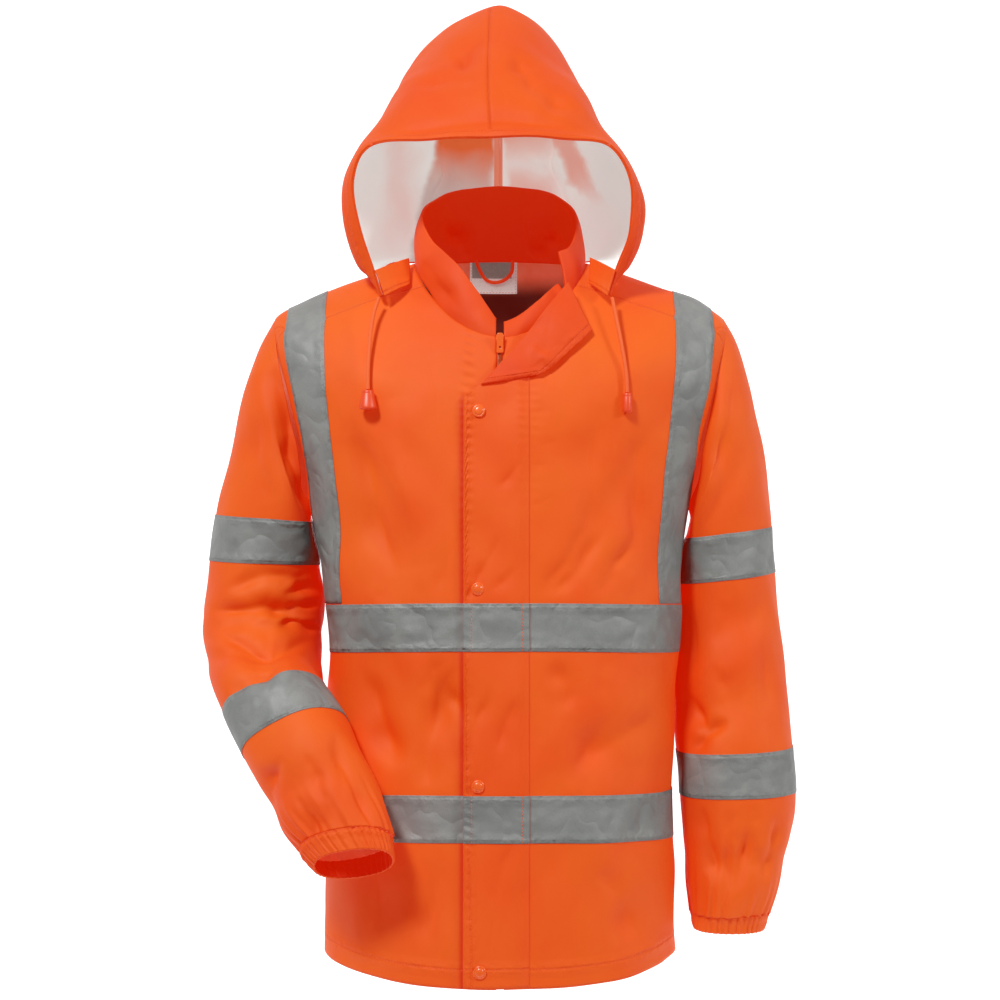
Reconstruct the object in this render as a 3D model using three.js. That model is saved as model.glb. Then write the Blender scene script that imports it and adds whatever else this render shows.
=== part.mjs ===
// Hi-vis work jacket, filled out as worn: millimetres, +Z up, the front faces -Y, +X is the wearer's left.
// The origin lies between the wearer's shoulders, where the jacket is held up.
import * as THREE from 'three'

// Driving dimensions
const CLOTH = 1.6
const DOUBLE_CLOTH = 2.2
const TAPE = 1.0
const SEAM = 0.3
const ZIP_HALF = 4
const FLAP_FREE_X = -38
const FLAP_SEWN_X = 31
const SNAP_RADIUS = 7
const SNAP_HEIGHT = 2.6
const CORD_RADIUS = 2
const CASING_WIDTH = 15
const VISOR_HEM_WIDTH = 10
const CUFF_GATHERS = 20
const HEM_ROW = 0.02
const ARMPIT_ROW = 8
const NECK_ROW = 18
const ARMHOLE_FRONT = 20
const ARMHOLE_BACK = 22
const ARMHOLE_MID = 11
const ARMHOLE_REACH = 3

const cosDeg = (angle) => Math.cos(THREE.MathUtils.degToRad(angle))
const sinDeg = (angle) => Math.sin(THREE.MathUtils.degToRad(angle))
const lerp = THREE.MathUtils.lerp
const power = (value, exponent) => Math.sign(value) * Math.abs(value) ** exponent
const range = (count) => Array.from({ length: count + 1 }, (_, step) => step / count)

// Rings of the body from hem to neck, each a rounded oblong: half width, depth to the front and back,
// height at the side, front and back, and how square it is.
const RING_COLUMNS = ['half', 'front', 'back', 'side', 'fore', 'rear', 'square']
const RING_ROWS = [
  [190.0, 137, 142, -703, -724, -716, 2.35],
  [189.0, 136, 141, -640, -652, -646, 2.35],
  [188.5, 135, 140, -580, -573, -577, 2.35],
  [188.6, 134, 140, -530, -524, -527, 2.35],
  [190.0, 133, 139, -450, -448, -449, 2.32],
  [193.8, 131, 139, -382, -375, -378, 2.3],
  [196.5, 130, 139, -331, -325, -328, 2.3],
  [199.5, 129, 140, -272, -270, -272, 2.3],
  [206.0, 128, 140, -222, -224, -222, 2.3],
  [216.0, 127, 140, -180, -186, -178, 2.3],
  [228.0, 126, 139, -140, -154, -136, 2.3],
  [240.0, 124.5, 137, -102, -133, -98, 2.3],
  [248.0, 122.5, 133, -65, -117, -66, 2.3],
  [249.5, 120.5, 128, -38, -104, -42, 2.25],
  [243.0, 118, 122, -20, -94, -24, 2.2],
  [217.0, 115.5, 113, -4, -84, -6, 2.15],
  [180.0, 112, 103, 11, -72, 14, 2.1],
  [138.0, 108, 91, 27, -60, 33, 2.05],
  [94.0, 104, 78, 41, -47, 51, 2.0],
]

// A smooth curve through the rows of a table at whole steps of t
function along(rows, t, column) {
  const last = rows.length - 1
  const cell = Math.min(Math.max(Math.floor(t), 0), last - 1)
  const part = t - cell
  const pick = (row) => rows[Math.min(Math.max(row, 0), last)][column]
  const [a, b] = [pick(cell), pick(cell + 1)]
  const slopeA = cell === 0 ? b - a : (b - pick(cell - 1)) / 2
  const slopeB = cell === last - 1 ? b - a : (pick(cell + 2) - a) / 2
  const [square, cube] = [part * part, part * part * part]
  return (
    a * (2 * cube - 3 * square + 1) +
    slopeA * (cube - 2 * square + part) +
    b * (3 * square - 2 * cube) +
    slopeB * (cube - square)
  )
}

// A smooth curve through [key, value] rows at uneven keys
function curve(rows, key) {
  const clamped = THREE.MathUtils.clamp(key, rows[0][0], rows[rows.length - 1][0])
  const found = rows.findIndex((row) => row[0] >= clamped)
  const cell = Math.max(found, 1) - 1
  return along(rows, cell + (clamped - rows[cell][0]) / (rows[cell + 1][0] - rows[cell][0]), 1)
}

const ring = (row) => Object.fromEntries(RING_COLUMNS.map((name, column) => [name, along(RING_ROWS, row, column)]))

// Large soft folds of the body: place in degrees and ring, size in degrees and rings, depth, lean
const BODY_FOLDS = [
  { angle: 124, row: 8.6, wide: 7, tall: 1.7, deep: -5, lean: 5 },
  { angle: 57, row: 8.4, wide: 7, tall: 1.8, deep: -5, lean: -5 },
  { angle: 128, row: 1.2, wide: 9, tall: 1.6, deep: -4, lean: -3 },
  { angle: 55, row: 0.9, wide: 10, tall: 1.6, deep: 4, lean: 3 },
  { angle: 240, row: 8.0, wide: 9, tall: 2.2, deep: -6, lean: -5 },
  { angle: 300, row: 8.2, wide: 9, tall: 2.0, deep: -6, lean: 5 },
  { angle: 292, row: 1.4, wide: 12, tall: 2.2, deep: -5, lean: 2 },
  { angle: 246, row: 0.9, wide: 12, tall: 2.0, deep: 5, lean: -2 },
]

function foldDepth(folds, angle, row) {
  let depth = 0
  for (const fold of folds) {
    const turn = ((((angle - fold.angle) % 360) + 540) % 360) - 180
    const across = (turn - fold.lean * (row - fold.row)) / fold.wide
    const up = (row - fold.row) / fold.tall
    depth += fold.deep * Math.exp(-across * across - up * up)
  }
  return depth
}

// Body surface: angle 0 is the wearer's left side, 90 the front, 180 the right side, 270 the back
function body(angle, row) {
  const at = ring(row)
  const [across, ahead] = [cosDeg(angle), sinDeg(angle)]
  const spread = 2 / at.square
  const isFront = ahead > 0
  const lift = Math.abs(ahead) ** 1.6
  const growth = 1 + foldDepth(BODY_FOLDS, angle, row) / 160
  return new THREE.Vector3(
    at.half * power(across, spread) * growth,
    -(isFront ? at.front : at.back) * power(ahead, spread) * growth,
    at.side + ((isFront ? at.fore : at.rear) - at.side) * lift,
  )
}

// The direction across a surface, from small steps on it
function across(surface, u, v, stepU, stepV) {
  const alongU = surface(u + stepU, v).sub(surface(u - stepU, v))
  const alongV = surface(u, v + stepV).sub(surface(u, v - stepV))
  return alongU.cross(alongV).normalize()
}

// A sheet gathers the cells of a surface, each grid turned to its outward directions
class Sheet {
  constructor() {
    this.points = []
    this.normals = []
    this.cells = []
    this.known = new Map()
  }

  add(place, normal) {
    const key = place.toArray().map((value) => Math.round(value * 200)).join()
    if (!this.known.has(key)) {
      this.known.set(key, this.points.length)
      this.points.push(place)
      this.normals.push(normal)
    }
    return this.known.get(key)
  }

  // at(u, v) gives { place, normal }
  grid(at, us, vs, isClosed = false) {
    const rows = vs.map((v) => us.map((u) => {
      const { place, normal } = at(u, v)
      return this.add(place, normal)
    }))
    const columns = isClosed ? us.length : us.length - 1
    const cells = []
    for (let row = 0; row < vs.length - 1; row += 1) {
      for (let column = 0; column < columns; column += 1) {
        const next = (column + 1) % us.length
        const corners = [rows[row][column], rows[row][next], rows[row + 1][next], rows[row + 1][column]]
        cells.push(corners.filter((corner, place) => corner !== corners[(place + 3) % 4]))
      }
    }
    const facing = cells.reduce((sum, cell) => sum + this.facing(cell), 0)
    this.cells.push(...cells.map((cell) => (facing < 0 ? cell.reverse() : cell)))
    return this
  }

  // How much a cell faces the way of its outward direction
  facing(corners) {
    if (corners.length < 3) return 0
    const [a, b, c] = corners.map((corner) => this.points[corner])
    return b.clone().sub(a).cross(c.clone().sub(a)).dot(this.normals[corners[0]])
  }
}

const MATERIALS = {
  orange: new THREE.MeshStandardMaterial({ color: 0xf0501a, roughness: 0.55, metalness: 0 }),
  tape: new THREE.MeshStandardMaterial({ color: 0x85888a, roughness: 0.45, metalness: 0.2 }),
  plastic: new THREE.MeshStandardMaterial({ color: 0xf06a35, roughness: 0.35, metalness: 0 }),
  cord: new THREE.MeshStandardMaterial({ color: 0xe84a18, roughness: 0.8, metalness: 0 }),
  zip: new THREE.MeshStandardMaterial({ color: 0xd03a10, roughness: 0.5, metalness: 0.1 }),
  label: new THREE.MeshStandardMaterial({ color: 0xd8d4cc, roughness: 0.8, metalness: 0 }),
}

const jacket = new THREE.Group()

function addMesh(name, geometry, material) {
  const mesh = new THREE.Mesh(geometry, MATERIALS[material])
  mesh.name = name
  jacket.add(mesh)
  return mesh
}

// A closed wall on a sheet between two distances along its outward directions
function solid(name, sheet, inner, outer, material) {
  const count = sheet.points.length
  const places = [inner, outer].flatMap((out) => sheet.points.map((place, index) =>
    place.clone().addScaledVector(sheet.normals[index], out)))
  const faces = []
  const edges = new Map()
  const addFace = (corners, isOuter) => {
    const shift = isOuter ? count : 0
    const ordered = isOuter ? corners : [...corners].reverse()
    faces.push(ordered.map((corner) => corner + shift))
  }
  for (const cell of sheet.cells) {
    if (cell.length < 3) continue
    const isShort = cell.length === 4 &&
      places[cell[0]].distanceToSquared(places[cell[2]]) <= places[cell[1]].distanceToSquared(places[cell[3]])
    const parts = cell.length === 3 ? [cell] : isShort
      ? [[cell[0], cell[1], cell[2]], [cell[0], cell[2], cell[3]]]
      : [[cell[0], cell[1], cell[3]], [cell[1], cell[2], cell[3]]]
    for (const part of parts) {
      addFace(part, true)
      addFace(part, false)
    }
    cell.forEach((corner, index) => edges.set(`${corner},${cell[(index + 1) % cell.length]}`, true))
  }
  for (const edge of edges.keys()) {
    const [from, to] = edge.split(',').map(Number)
    if (edges.has(`${to},${from}`)) continue
    faces.push([from, to, to + count], [from, to + count, from + count])
  }
  const geometry = new THREE.BufferGeometry()
  geometry.setAttribute('position', new THREE.Float32BufferAttribute(places.flatMap((p) => p.toArray()), 3))
  geometry.setIndex(faces.flat())
  geometry.computeVertexNormals()
  return addMesh(name, geometry, material)
}

// Places on the body by angle and row, for Sheet.grid
const onBody = (angleOf, rowOf, liftOf = () => 0) => (u, v) => {
  const row = rowOf(u, v)
  const angle = angleOf(u, v, row)
  const inside = THREE.MathUtils.clamp(row, 0.02, NECK_ROW - 0.02)
  const normal = across(body, angle, inside, 0.4, 0.02).negate()
  return { place: body(angle, row).addScaledVector(normal, liftOf(u, v)), normal }
}

// The angle on the front or back where the body is x away from the middle, or x of its height
function angleAt(xOf, row, isBack = false) {
  let [low, high] = [0, 90]
  const mirrored = Math.sign(xOf(0))
  const place = (angle) => {
    const front = mirrored < 0 ? 180 - angle : angle
    return body(isBack ? -front : front, row)
  }
  for (let step = 0; step < 30; step += 1) {
    const middle = (low + high) / 2
    const point = place(middle)
    if (Math.abs(point.x) > Math.abs(xOf(point.z))) low = middle
    else high = middle
  }
  const found = mirrored < 0 ? 180 - low : low
  return isBack ? -found : found
}

// Armhole: turn 0 is its top, 90 the front, 180 the armpit and 270 the back, on the wearer's left
const ARMHOLE_TURNS = range(20).slice(0, 20).map((part) => part * 360)
const armholeRow = (turn, grow = 0) => ARMHOLE_MID + (ARMHOLE_REACH + grow * 0.012) * cosDeg(turn)
const armholeAngle = (turn, grow = 0) => {
  const reach = sinDeg(turn) > 0 ? ARMHOLE_FRONT : ARMHOLE_BACK
  return (reach + grow * 0.12) * sinDeg(turn)
}
const PANEL_GROW = 1.2

const panelRows = [
  0, 1, 2, 3, 4, 5, 6, 7,
  ...range(10).map((part) => armholeRow(180 - part * 180, PANEL_GROW)),
  15, 16, 17, 18,
]
const armholeTurnOf = (row) => THREE.MathUtils.radToDeg(Math.acos(
  THREE.MathUtils.clamp((row - ARMHOLE_MID) / (ARMHOLE_REACH + PANEL_GROW * 0.012), -1, 1)))
const isInArmhole = (row) => Math.abs(row - ARMHOLE_MID) < ARMHOLE_REACH + PANEL_GROW * 0.012 - 1e-6

// Forward shoulder seam, from the armhole to the neck
const SHOULDER_SEAM = [[12.7, 16.8], [13.4, 19.5], [14, 22.5], [15, 26.5], [16, 28], [17, 29], [18, 30]]
const seamEndRow = armholeRow(54, PANEL_GROW)
const seamAngle = (row) => row <= seamEndRow + 1e-6
  ? armholeAngle(armholeTurnOf(row), PANEL_GROW)
  : curve(SHOULDER_SEAM, row)
const seamGap = 0.09

// Outer edge of a front, in degrees from the side
function frontEdge(row) {
  if (row < ARMPIT_ROW && !isInArmhole(row)) return seamGap
  if (row <= seamEndRow + 1e-6) return armholeAngle(armholeTurnOf(row), PANEL_GROW)
  return seamAngle(row) + seamGap
}

const backEdge = (row) => {
  if (isInArmhole(row)) return armholeAngle(360 - armholeTurnOf(row), PANEL_GROW)
  return row < ARMPIT_ROW ? -seamGap : 0
}

const mirror = (angle, side) => (side > 0 ? angle : 180 - angle)
const SIDES = [['left', 1], ['right', -1]]

// Braces: x of the inner and outer edge by height, the same on the front and the back
const BRACE_INNER = [[-331, 168.6], [-280, 168.7], [-231, 170], [-195, 173], [-159, 177], [-115, 182], [-80, 185],
  [-43, 186.5], [20, 187]]
const BRACE_OUTER = [[-331, 193.6], [-293, 195.4], [-251, 199.2], [-204, 204.6], [-170, 209], [-130, 215], [-78, 226],
  [-34, 230], [20, 229]]

const braceX = (height, part) => lerp(curve(BRACE_OUTER, height), curve(BRACE_INNER, height), part)

// The lines that run up a front, in degrees from the side: its edge, the brace's two edges and its middle,
// then even steps to the zip. What lies on the front uses the same lines.
const FRONT_LINES = 10
const BRACE_LINES = [1, 2, 3]

function frontLine(line, row, innerX = ZIP_HALF) {
  const edge = frontEdge(row)
  if (line === 0) return edge
  const onBrace = (part) => Math.max(angleAt((height) => braceX(height, part), row), edge + 0.4 + part)
  if (line <= 3) return onBrace((line - 1) / 2)
  const inner = onBrace(1)
  return lerp(inner, angleAt(() => innerX, row), (line - 3) / (FRONT_LINES - 3))
}

const wholeSteps = (low, high) => Array.from({ length: high - low + 1 }, (_, step) => low + step)

function addFront(label, side) {
  const at = onBody((line, v, row) => mirror(frontLine(line, row), side), (line, v) => v)
  return solid(`front_${label}`, new Sheet().grid(at, wholeSteps(0, FRONT_LINES), panelRows), -CLOTH, 0, 'orange')
}

const BACK_STEPS = 16

function addBack() {
  const sheet = new Sheet()
  const span = (row, part) => lerp(180 - backEdge(row), 360 + backEdge(row), part)
  sheet.grid(onBody((u, v, row) => span(row, 1 - u), (u, v) => v), range(BACK_STEPS), panelRows)
  const wrapRows = panelRows.filter((row) => row >= seamEndRow - 1e-6)
  for (const [, side] of SIDES) {
    const inner = (row) => (isInArmhole(row) ? armholeAngle(armholeTurnOf(row), PANEL_GROW) : 0)
    const outer = (row) => seamAngle(row) - (row > seamEndRow + 1e-6 ? seamGap : 0)
    const angle = (u, v, row) => mirror(lerp(inner(row), outer(row), u), side)
    sheet.grid(onBody(angle, (u, v) => v), range(2), wrapRows)
  }
  return solid('back', sheet, -CLOTH, 0, 'orange')
}

// Sleeves: a row for each section, from the outer point to the inner one in the front view, with the
// section's place in depth and its half depth. x is measured from the middle. Lean sets the outer point
// back, and tip turns the section's front up, in degrees.
const SLEEVE_COLUMNS = ['outX', 'outZ', 'inX', 'inZ', 'depth', 'half', 'lean', 'tip']
const SLEEVE_ROWS = {
  left: [
    [255, -43, 209.5, -228, 2, 56, 0, 0],
    [265, -70, 209, -238, 8, 64, 0, 0],
    [275, -100, 206, -252, 16, 70, 0, 0],
    [284, -140, 202, -272, 24, 74, 0, 0],
    [290.5, -180, 202, -292, 30, 75, 0, 0],
    [295.5, -218, 201, -316, 33, 75, 0, 0],
    [301, -270, 200.5, -345, 34, 75, 0, 0],
    [306.5, -325, 197.5, -378, 33, 75, 0, 0],
    [311.5, -378, 193, -412, 30, 75, 0, 0],
    [315.5, -425, 193.5, -444, 25, 74, 0, 0],
    [318, -470, 194.5, -480, 18, 73, 0, 0],
    [320, -520, 195.5, -523, 12, 70, 0, 0],
    [319.5, -556, 197.5, -556, 8, 66, 0, 0],
    [315.5, -580, 199.5, -580, 5, 63, 0, 0],
    [309.5, -606, 202.5, -606, 3, 60, 0, 0],
    [303, -640, 205.5, -640, 1, 55, 0, 0],
    [294, -665, 207, -665, 0, 49, 0, 0],
  ],
  right: [
    [258, -43, 209.5, -228, 2, 56, 0, 0],
    [270, -68, 209, -238, 7, 64, 0, 0],
    [280.5, -97, 206, -252, 14, 70, 0, 0],
    [290, -137, 202, -272, 21, 74, 0, 0],
    [299, -180, 202, -290, 27, 75, 0, 0],
    [309, -222, 200, -306, 30, 75, 0, 0],
    [317, -268, 197.5, -324, 30, 75, 0, 0],
    [323, -318, 197.5, -345, 26, 74, 0, 0],
    [325.5, -350, 198, -362, 15, 72, 2, 4],
    [321, -374, 198, -382, -2, 69, 8, 10],
    [313, -400, 196, -393, -28, 65, 12, 17],
    [300, -428, 191, -404, -63, 60, 12, 24],
    [285, -454, 179, -420, -87, 56, 11, 29],
    [264, -492, 160, -448, -114, 52, 10, 32],
    [250, -513, 147, -472, -130, 50, 9, 32],
    [234, -540, 131, -503, -145, 48, 8, 32],
    [221, -560, 120, -530, -156, 45, 5, 32],
    [205, -579, 111, -560, -166, 41, 3, 32],
  ],
}

// Cuffs: the gathered end of each sleeve, as its two edges
const CUFF_ROWS = {
  left: [[292, -668, 208.5, -668, 0, 46, 0, 0], [288.5, -684, 210, -684, 0, 43, 0, 0]],
  right: [[201, -583, 110, -567, -169, 39, 2, 32], [190, -594, 106.5, -582, -176, 37, 0, 32]],
}

const SLEEVE_FOLDS = {
  left: [
    { angle: 60, row: 8, wide: 55, tall: 0.6, deep: -5, lean: 0 },
    { angle: 120, row: 10, wide: 60, tall: 0.6, deep: -5, lean: 0 },
    { angle: 95, row: 4, wide: 45, tall: 0.6, deep: -4, lean: 0 },
    { angle: 60, row: 15, wide: 60, tall: 0.5, deep: -3, lean: 0 },
    { angle: 280, row: 9, wide: 60, tall: 0.6, deep: -5, lean: 0 },
    { angle: 250, row: 15, wide: 60, tall: 0.5, deep: -3, lean: 0 },
  ],
  right: [
    { angle: 100, row: 9, wide: 60, tall: 0.5, deep: -6, lean: 0 },
    { angle: 70, row: 11, wide: 60, tall: 0.4, deep: -4, lean: 0 },
    { angle: 40, row: 4, wide: 50, tall: 0.5, deep: -4, lean: 0 },
    { angle: 70, row: 16, wide: 60, tall: 0.5, deep: -4, lean: 0 },
    { angle: 280, row: 5, wide: 60, tall: 0.5, deep: -4, lean: 0 },
  ],
}

const SLEEVE_SQUARE = 2 / 2.25
const folded = (label, turn, row) => foldDepth(SLEEVE_FOLDS[label], turn, row)

// One section of a sleeve, as its middle and its two half axes
function section(rows, index, side) {
  const read = (row) => Object.fromEntries(SLEEVE_COLUMNS.map((name, column) => [name, row[column]]))
  const at = read(rows[index])
  const middle = new THREE.Vector3(side * (at.outX + at.inX) / 2, at.depth, (at.outZ + at.inZ) / 2)
  const out = new THREE.Vector3(side * (at.outX - at.inX) / 2, at.lean, (at.outZ - at.inZ) / 2)
  const ahead = new THREE.Vector3(0, -cosDeg(at.tip), sinDeg(at.tip))
  ahead.addScaledVector(out, -ahead.dot(out) / out.lengthSq()).setLength(at.half)
  return { middle, out, ahead }
}

const armholePlace = (turn, side) => body(mirror(armholeAngle(turn), side), armholeRow(turn))

function ringPlace(rows, index, turn, side) {
  const { middle, out, ahead } = section(rows, index, side)
  return middle.clone()
    .addScaledVector(out, power(cosDeg(turn), SLEEVE_SQUARE))
    .addScaledVector(ahead, power(sinDeg(turn), SLEEVE_SQUARE))
}

// Sleeve surface: row 0 is the armhole and the last row the cuff's far edge
function sleeveRows(label) {
  return [...SLEEVE_ROWS[label], ...CUFF_ROWS[label]]
}

function sleeve(label, side) {
  const rows = sleeveRows(label)
  const seen = new Map()
  const column = (turn) => {
    if (!seen.has(turn)) {
      const places = rows.map((_, index) => ringPlace(rows, index, turn, side).toArray())
      seen.set(turn, [armholePlace(turn, side).toArray(), ...places])
    }
    return seen.get(turn)
  }
  return (turn, row) => {
    const places = column(turn)
    const plain = new THREE.Vector3(...[0, 1, 2].map((axis) => along(places, row, axis)))
    const last = rows.length
    const index = THREE.MathUtils.clamp(row - 1, 0, last - 1)
    const middle = new THREE.Vector3(...[0, 1, 2].map((axis) =>
      along(rows.map((_, step) => section(rows, step, side).middle.toArray()), index, axis)))
    const depth = row < 1 ? 0 : folded(label, turn, row)
    return plain.add(plain.clone().sub(middle).normalize().multiplyScalar(depth))
  }
}

const onSleeve = (surface, side, rowOf = (u, v) => v, liftOf = () => 0) => (u, v) => {
  const row = rowOf(u, v)
  const normal = across(surface, u, Math.max(row, 0.03), 1, 0.03).multiplyScalar(side)
  return { place: surface(u, row).addScaledVector(normal, liftOf(u, v)), normal }
}

function addSleeve(label, side, surface) {
  const end = SLEEVE_ROWS[label].length
  const rows = [0.008, ...wholeSteps(1, end)]
  const sheet = new Sheet().grid(onSleeve(surface, side), ARMHOLE_TURNS, rows, true)
  return solid(`sleeve_${label}`, sheet, -CLOTH, 0, 'orange')
}

function addCuff(label, side, surface) {
  const end = SLEEVE_ROWS[label].length
  const turns = range(CUFF_GATHERS * 3).slice(0, -1).map((part) => part * 360)
  const wave = (u, v) => 0.9 * Math.cos(THREE.MathUtils.degToRad(u * CUFF_GATHERS)) - (v > end + 1.5 ? 0 : 0.4)
  const at = onSleeve(surface, side, (u, v) => v, wave)
  const rows = [end + 0.03, end + 1, end + 2]
  return solid(`cuff_${label}`, new Sheet().grid(at, turns, rows, true), -3.4, -0.6, 'orange')
}

// Sleeve bands: height or row of both edges at the outer and the inner point, and how far they lie off the
// sleeve between its folds
const SLEEVE_BANDS = {
  left: {
    upper: { top: [-247, -260], bottom: [-297, -310], isHeight: true, lift: 1.2 },
    lower: { top: [-486, -492], bottom: [-535, -539], isHeight: true, lift: 0.9 },
  },
  right: {
    upper: { top: [-234, -242], bottom: [-284, -289], isHeight: true, lift: 1.2 },
    lower: { top: [13, 12.2], bottom: [14.05, 13.75], isHeight: false, lift: 1.3 },
  },
}

function bandRow(surface, turn, [outer, inner], isHeight) {
  const wanted = lerp(outer, inner, (1 - cosDeg(turn)) / 2)
  if (!isHeight) return wanted
  let [low, high] = [1, 16]
  for (let step = 0; step < 24; step += 1) {
    const middle = (low + high) / 2
    if (surface(turn, middle).z > wanted) low = middle
    else high = middle
  }
  return low
}

function addSleeveBand(label, side, surface, place) {
  const band = SLEEVE_BANDS[label][place]
  const edges = new Map(ARMHOLE_TURNS.map((turn) => [turn,
    [bandRow(surface, turn, band.top, band.isHeight), bandRow(surface, turn, band.bottom, band.isHeight)]]))
  const at = onSleeve(surface, side, (u, v) => lerp(...edges.get(u), v))
  const sheet = new Sheet().grid(at, ARMHOLE_TURNS, range(4), true)
  return solid(`band_sleeve_${label}_${place}`, sheet, band.lift, band.lift + TAPE, 'tape')
}

// Reflective bands round the body, between rings
const BODY_BANDS = { lower: [2, 3], upper: [5, 6] }

function addBodyBands(place) {
  const [bottom, top] = BODY_BANDS[place]
  const rows = range(1)
  const rowOf = (u, v) => lerp(bottom, top, v)
  for (const [label, side] of SIDES) {
    const lastLine = side > 0 ? FRONT_LINES - 1 : FRONT_LINES
    const angle = (line, v, row) => mirror(frontLine(line, row), side)
    const sheet = new Sheet().grid(onBody(angle, rowOf), wholeSteps(0, lastLine), rows)
    solid(`band_${place}_front_${label}`, sheet, SEAM, SEAM + TAPE, 'tape')
  }
  const angle = (u, v, row) => lerp(360 + backEdge(row), 180 - backEdge(row), u)
  solid(`band_${place}_back`, new Sheet().grid(onBody(angle, rowOf), range(BACK_STEPS), rows), SEAM, SEAM + TAPE, 'tape')
}

// Storm flap over the zip: its lift is small at the sewn edge and clears the tape beside it
const FLAP_TOP = [[-38, -114], [-34, -108], [-23, -100], [2.7, -74], [31, -42]]
const flapLift = (x) => lerp(1.9, SEAM, THREE.MathUtils.smoothstep(x, 14, FLAP_SEWN_X))

function rowAtHeight(angleOf, height) {
  let [low, high] = [0, NECK_ROW]
  for (let step = 0; step < 30; step += 1) {
    const middle = (low + high) / 2
    if (body(angleOf(middle), middle).z < height) low = middle
    else high = middle
  }
  return low
}

const FLAP_COLUMNS = range(6).map((part) => lerp(FLAP_FREE_X, FLAP_SEWN_X - 0.3, part))
const angleAcross = (x, row) => {
  const at = ring(row)
  return 90 - THREE.MathUtils.radToDeg(Math.asin(power(x / at.half, at.square / 2)))
}

function onFlap(rowOf, extra = 0) {
  return onBody((x, v, row) => angleAcross(x, row), rowOf, (x) => flapLift(x) + extra)
}

function addFlap() {
  const tops = new Map(FLAP_COLUMNS.map((x) => [x,
    rowAtHeight((row) => angleAcross(x, row), curve(FLAP_TOP, x))]))
  const at = onFlap((x, v) => lerp(HEM_ROW, tops.get(x), v))
  solid('storm_flap', new Sheet().grid(at, FLAP_COLUMNS, range(12)), 0, DOUBLE_CLOTH, 'orange')
  for (const [place, [bottom, top]] of Object.entries(BODY_BANDS)) {
    const onTape = onFlap((x, v) => lerp(bottom, top, v), DOUBLE_CLOTH + SEAM)
    solid(`band_${place}_flap`, new Sheet().grid(onTape, FLAP_COLUMNS, range(1)), 0, TAPE, 'tape')
  }
}

// Snaps: a low round cap on the flap, or on the tape where it lies there
const SNAPS = [
  { x: -22, height: -126 },
  { x: -22.8, height: -310 },
  { x: -22.7, height: -514 },
  { x: -20.7, height: -705 },
]

function addSnaps() {
  SNAPS.forEach(({ x, height }, index) => {
    const row = rowAtHeight((step) => angleAcross(x, step), height)
    const { place, normal } = onFlap(() => row, DOUBLE_CLOTH + SEAM + SNAP_HEIGHT / 2)(x, 0)
    const geometry = new THREE.CylinderGeometry(SNAP_RADIUS * 0.82, SNAP_RADIUS, SNAP_HEIGHT, 16)
    const mesh = addMesh(`snap_${index + 1}`, geometry, 'plastic')
    mesh.position.copy(place)
    mesh.quaternion.setFromUnitVectors(new THREE.Vector3(0, 1, 0), normal)
  })
}

// Lapel: the folded-back top of the flap, between its fold and its free edge
const LAPEL_COLUMNS = ['foldX', 'foldY', 'foldZ', 'freeX', 'freeY', 'freeZ']
const LAPEL_ROWS = [
  [-20, -125.2, -98, 43, -120.5, -87],
  [5, -118.5, -72, 58, -117, -76],
  [28, -111, -43, 74, -110.5, -61],
  [50, -101, -15, 86, -104, -50],
  [72, -82, 12, 96, -96.5, -40],
]

function lapel(u, v) {
  const at = Object.fromEntries(LAPEL_COLUMNS.map((name, column) => [name, along(LAPEL_ROWS, v, column)]))
  const bulge = -3 * Math.sin(Math.PI * u)
  return new THREE.Vector3(lerp(at.foldX, at.freeX, u), lerp(at.foldY, at.freeY, u) + bulge,
    lerp(at.foldZ, at.freeZ, u))
}

const onPlain = (surface, sign = 1) => (u, v) =>
  ({ place: surface(u, v), normal: across(surface, u, v, 0.01, 0.01).multiplyScalar(sign) })

// Collar: the height of its free edge by angle, and how far that edge leans out
const COLLAR_TOP = [
  [-180, 92], [-165, 104], [-150, 113], [-135, 122], [-120, 128], [-90, 133], [-60, 128], [-45, 122], [-30, 113],
  [-15, 101], [0, 84], [15, 66], [30, 52], [42.5, 46],
]
const COLLAR_STRIP_TOP = [[44, 11], [50, 5], [60, -6], [75, -21], [87, -30]]
const COLLAR_RIGHT_TOP = [[93, -27], [105, 0], [120, 28], [135, 46], [150, 60], [165, 77], [180, 92]]

function collarPlace(topOf) {
  return (angle, up) => {
    const foot = body(angle, NECK_ROW)
    const out = new THREE.Vector3(foot.x, foot.y, 0).normalize()
    const top = topOf(angle)
    const place = foot.clone()
    place.z = lerp(foot.z + SEAM + 0.6, top, up)
    const belly = 3 * Math.sin(Math.PI * Math.min(up, 1)) - 9 * up * up
    return place.addScaledVector(out, belly - 1.2)
  }
}

function addCollar() {
  const sheet = new Sheet()
  const rows = range(4)
  const turns = (low, high, count) => range(count).map((part) => lerp(low, high, part))
  const main = collarPlace((angle) => curve(COLLAR_TOP, angle))
  const strip = collarPlace((angle) => curve(COLLAR_STRIP_TOP, angle))
  const right = collarPlace((angle) => curve(COLLAR_RIGHT_TOP, angle))
  sheet.grid(onPlain(main, -1), turns(-180, 42.5, 24), rows)
  sheet.grid(onPlain(right, -1), turns(92.6, 180, 8), rows)
  solid('collar', sheet, -1.5, 1.0, 'orange')
  const stripSheet = new Sheet().grid(onPlain(strip, -1), turns(43.2, 87.5, 6), range(2))
  solid('collar_front_strip', stripSheet, -1.5, 1.0, 'orange')
}

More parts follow.
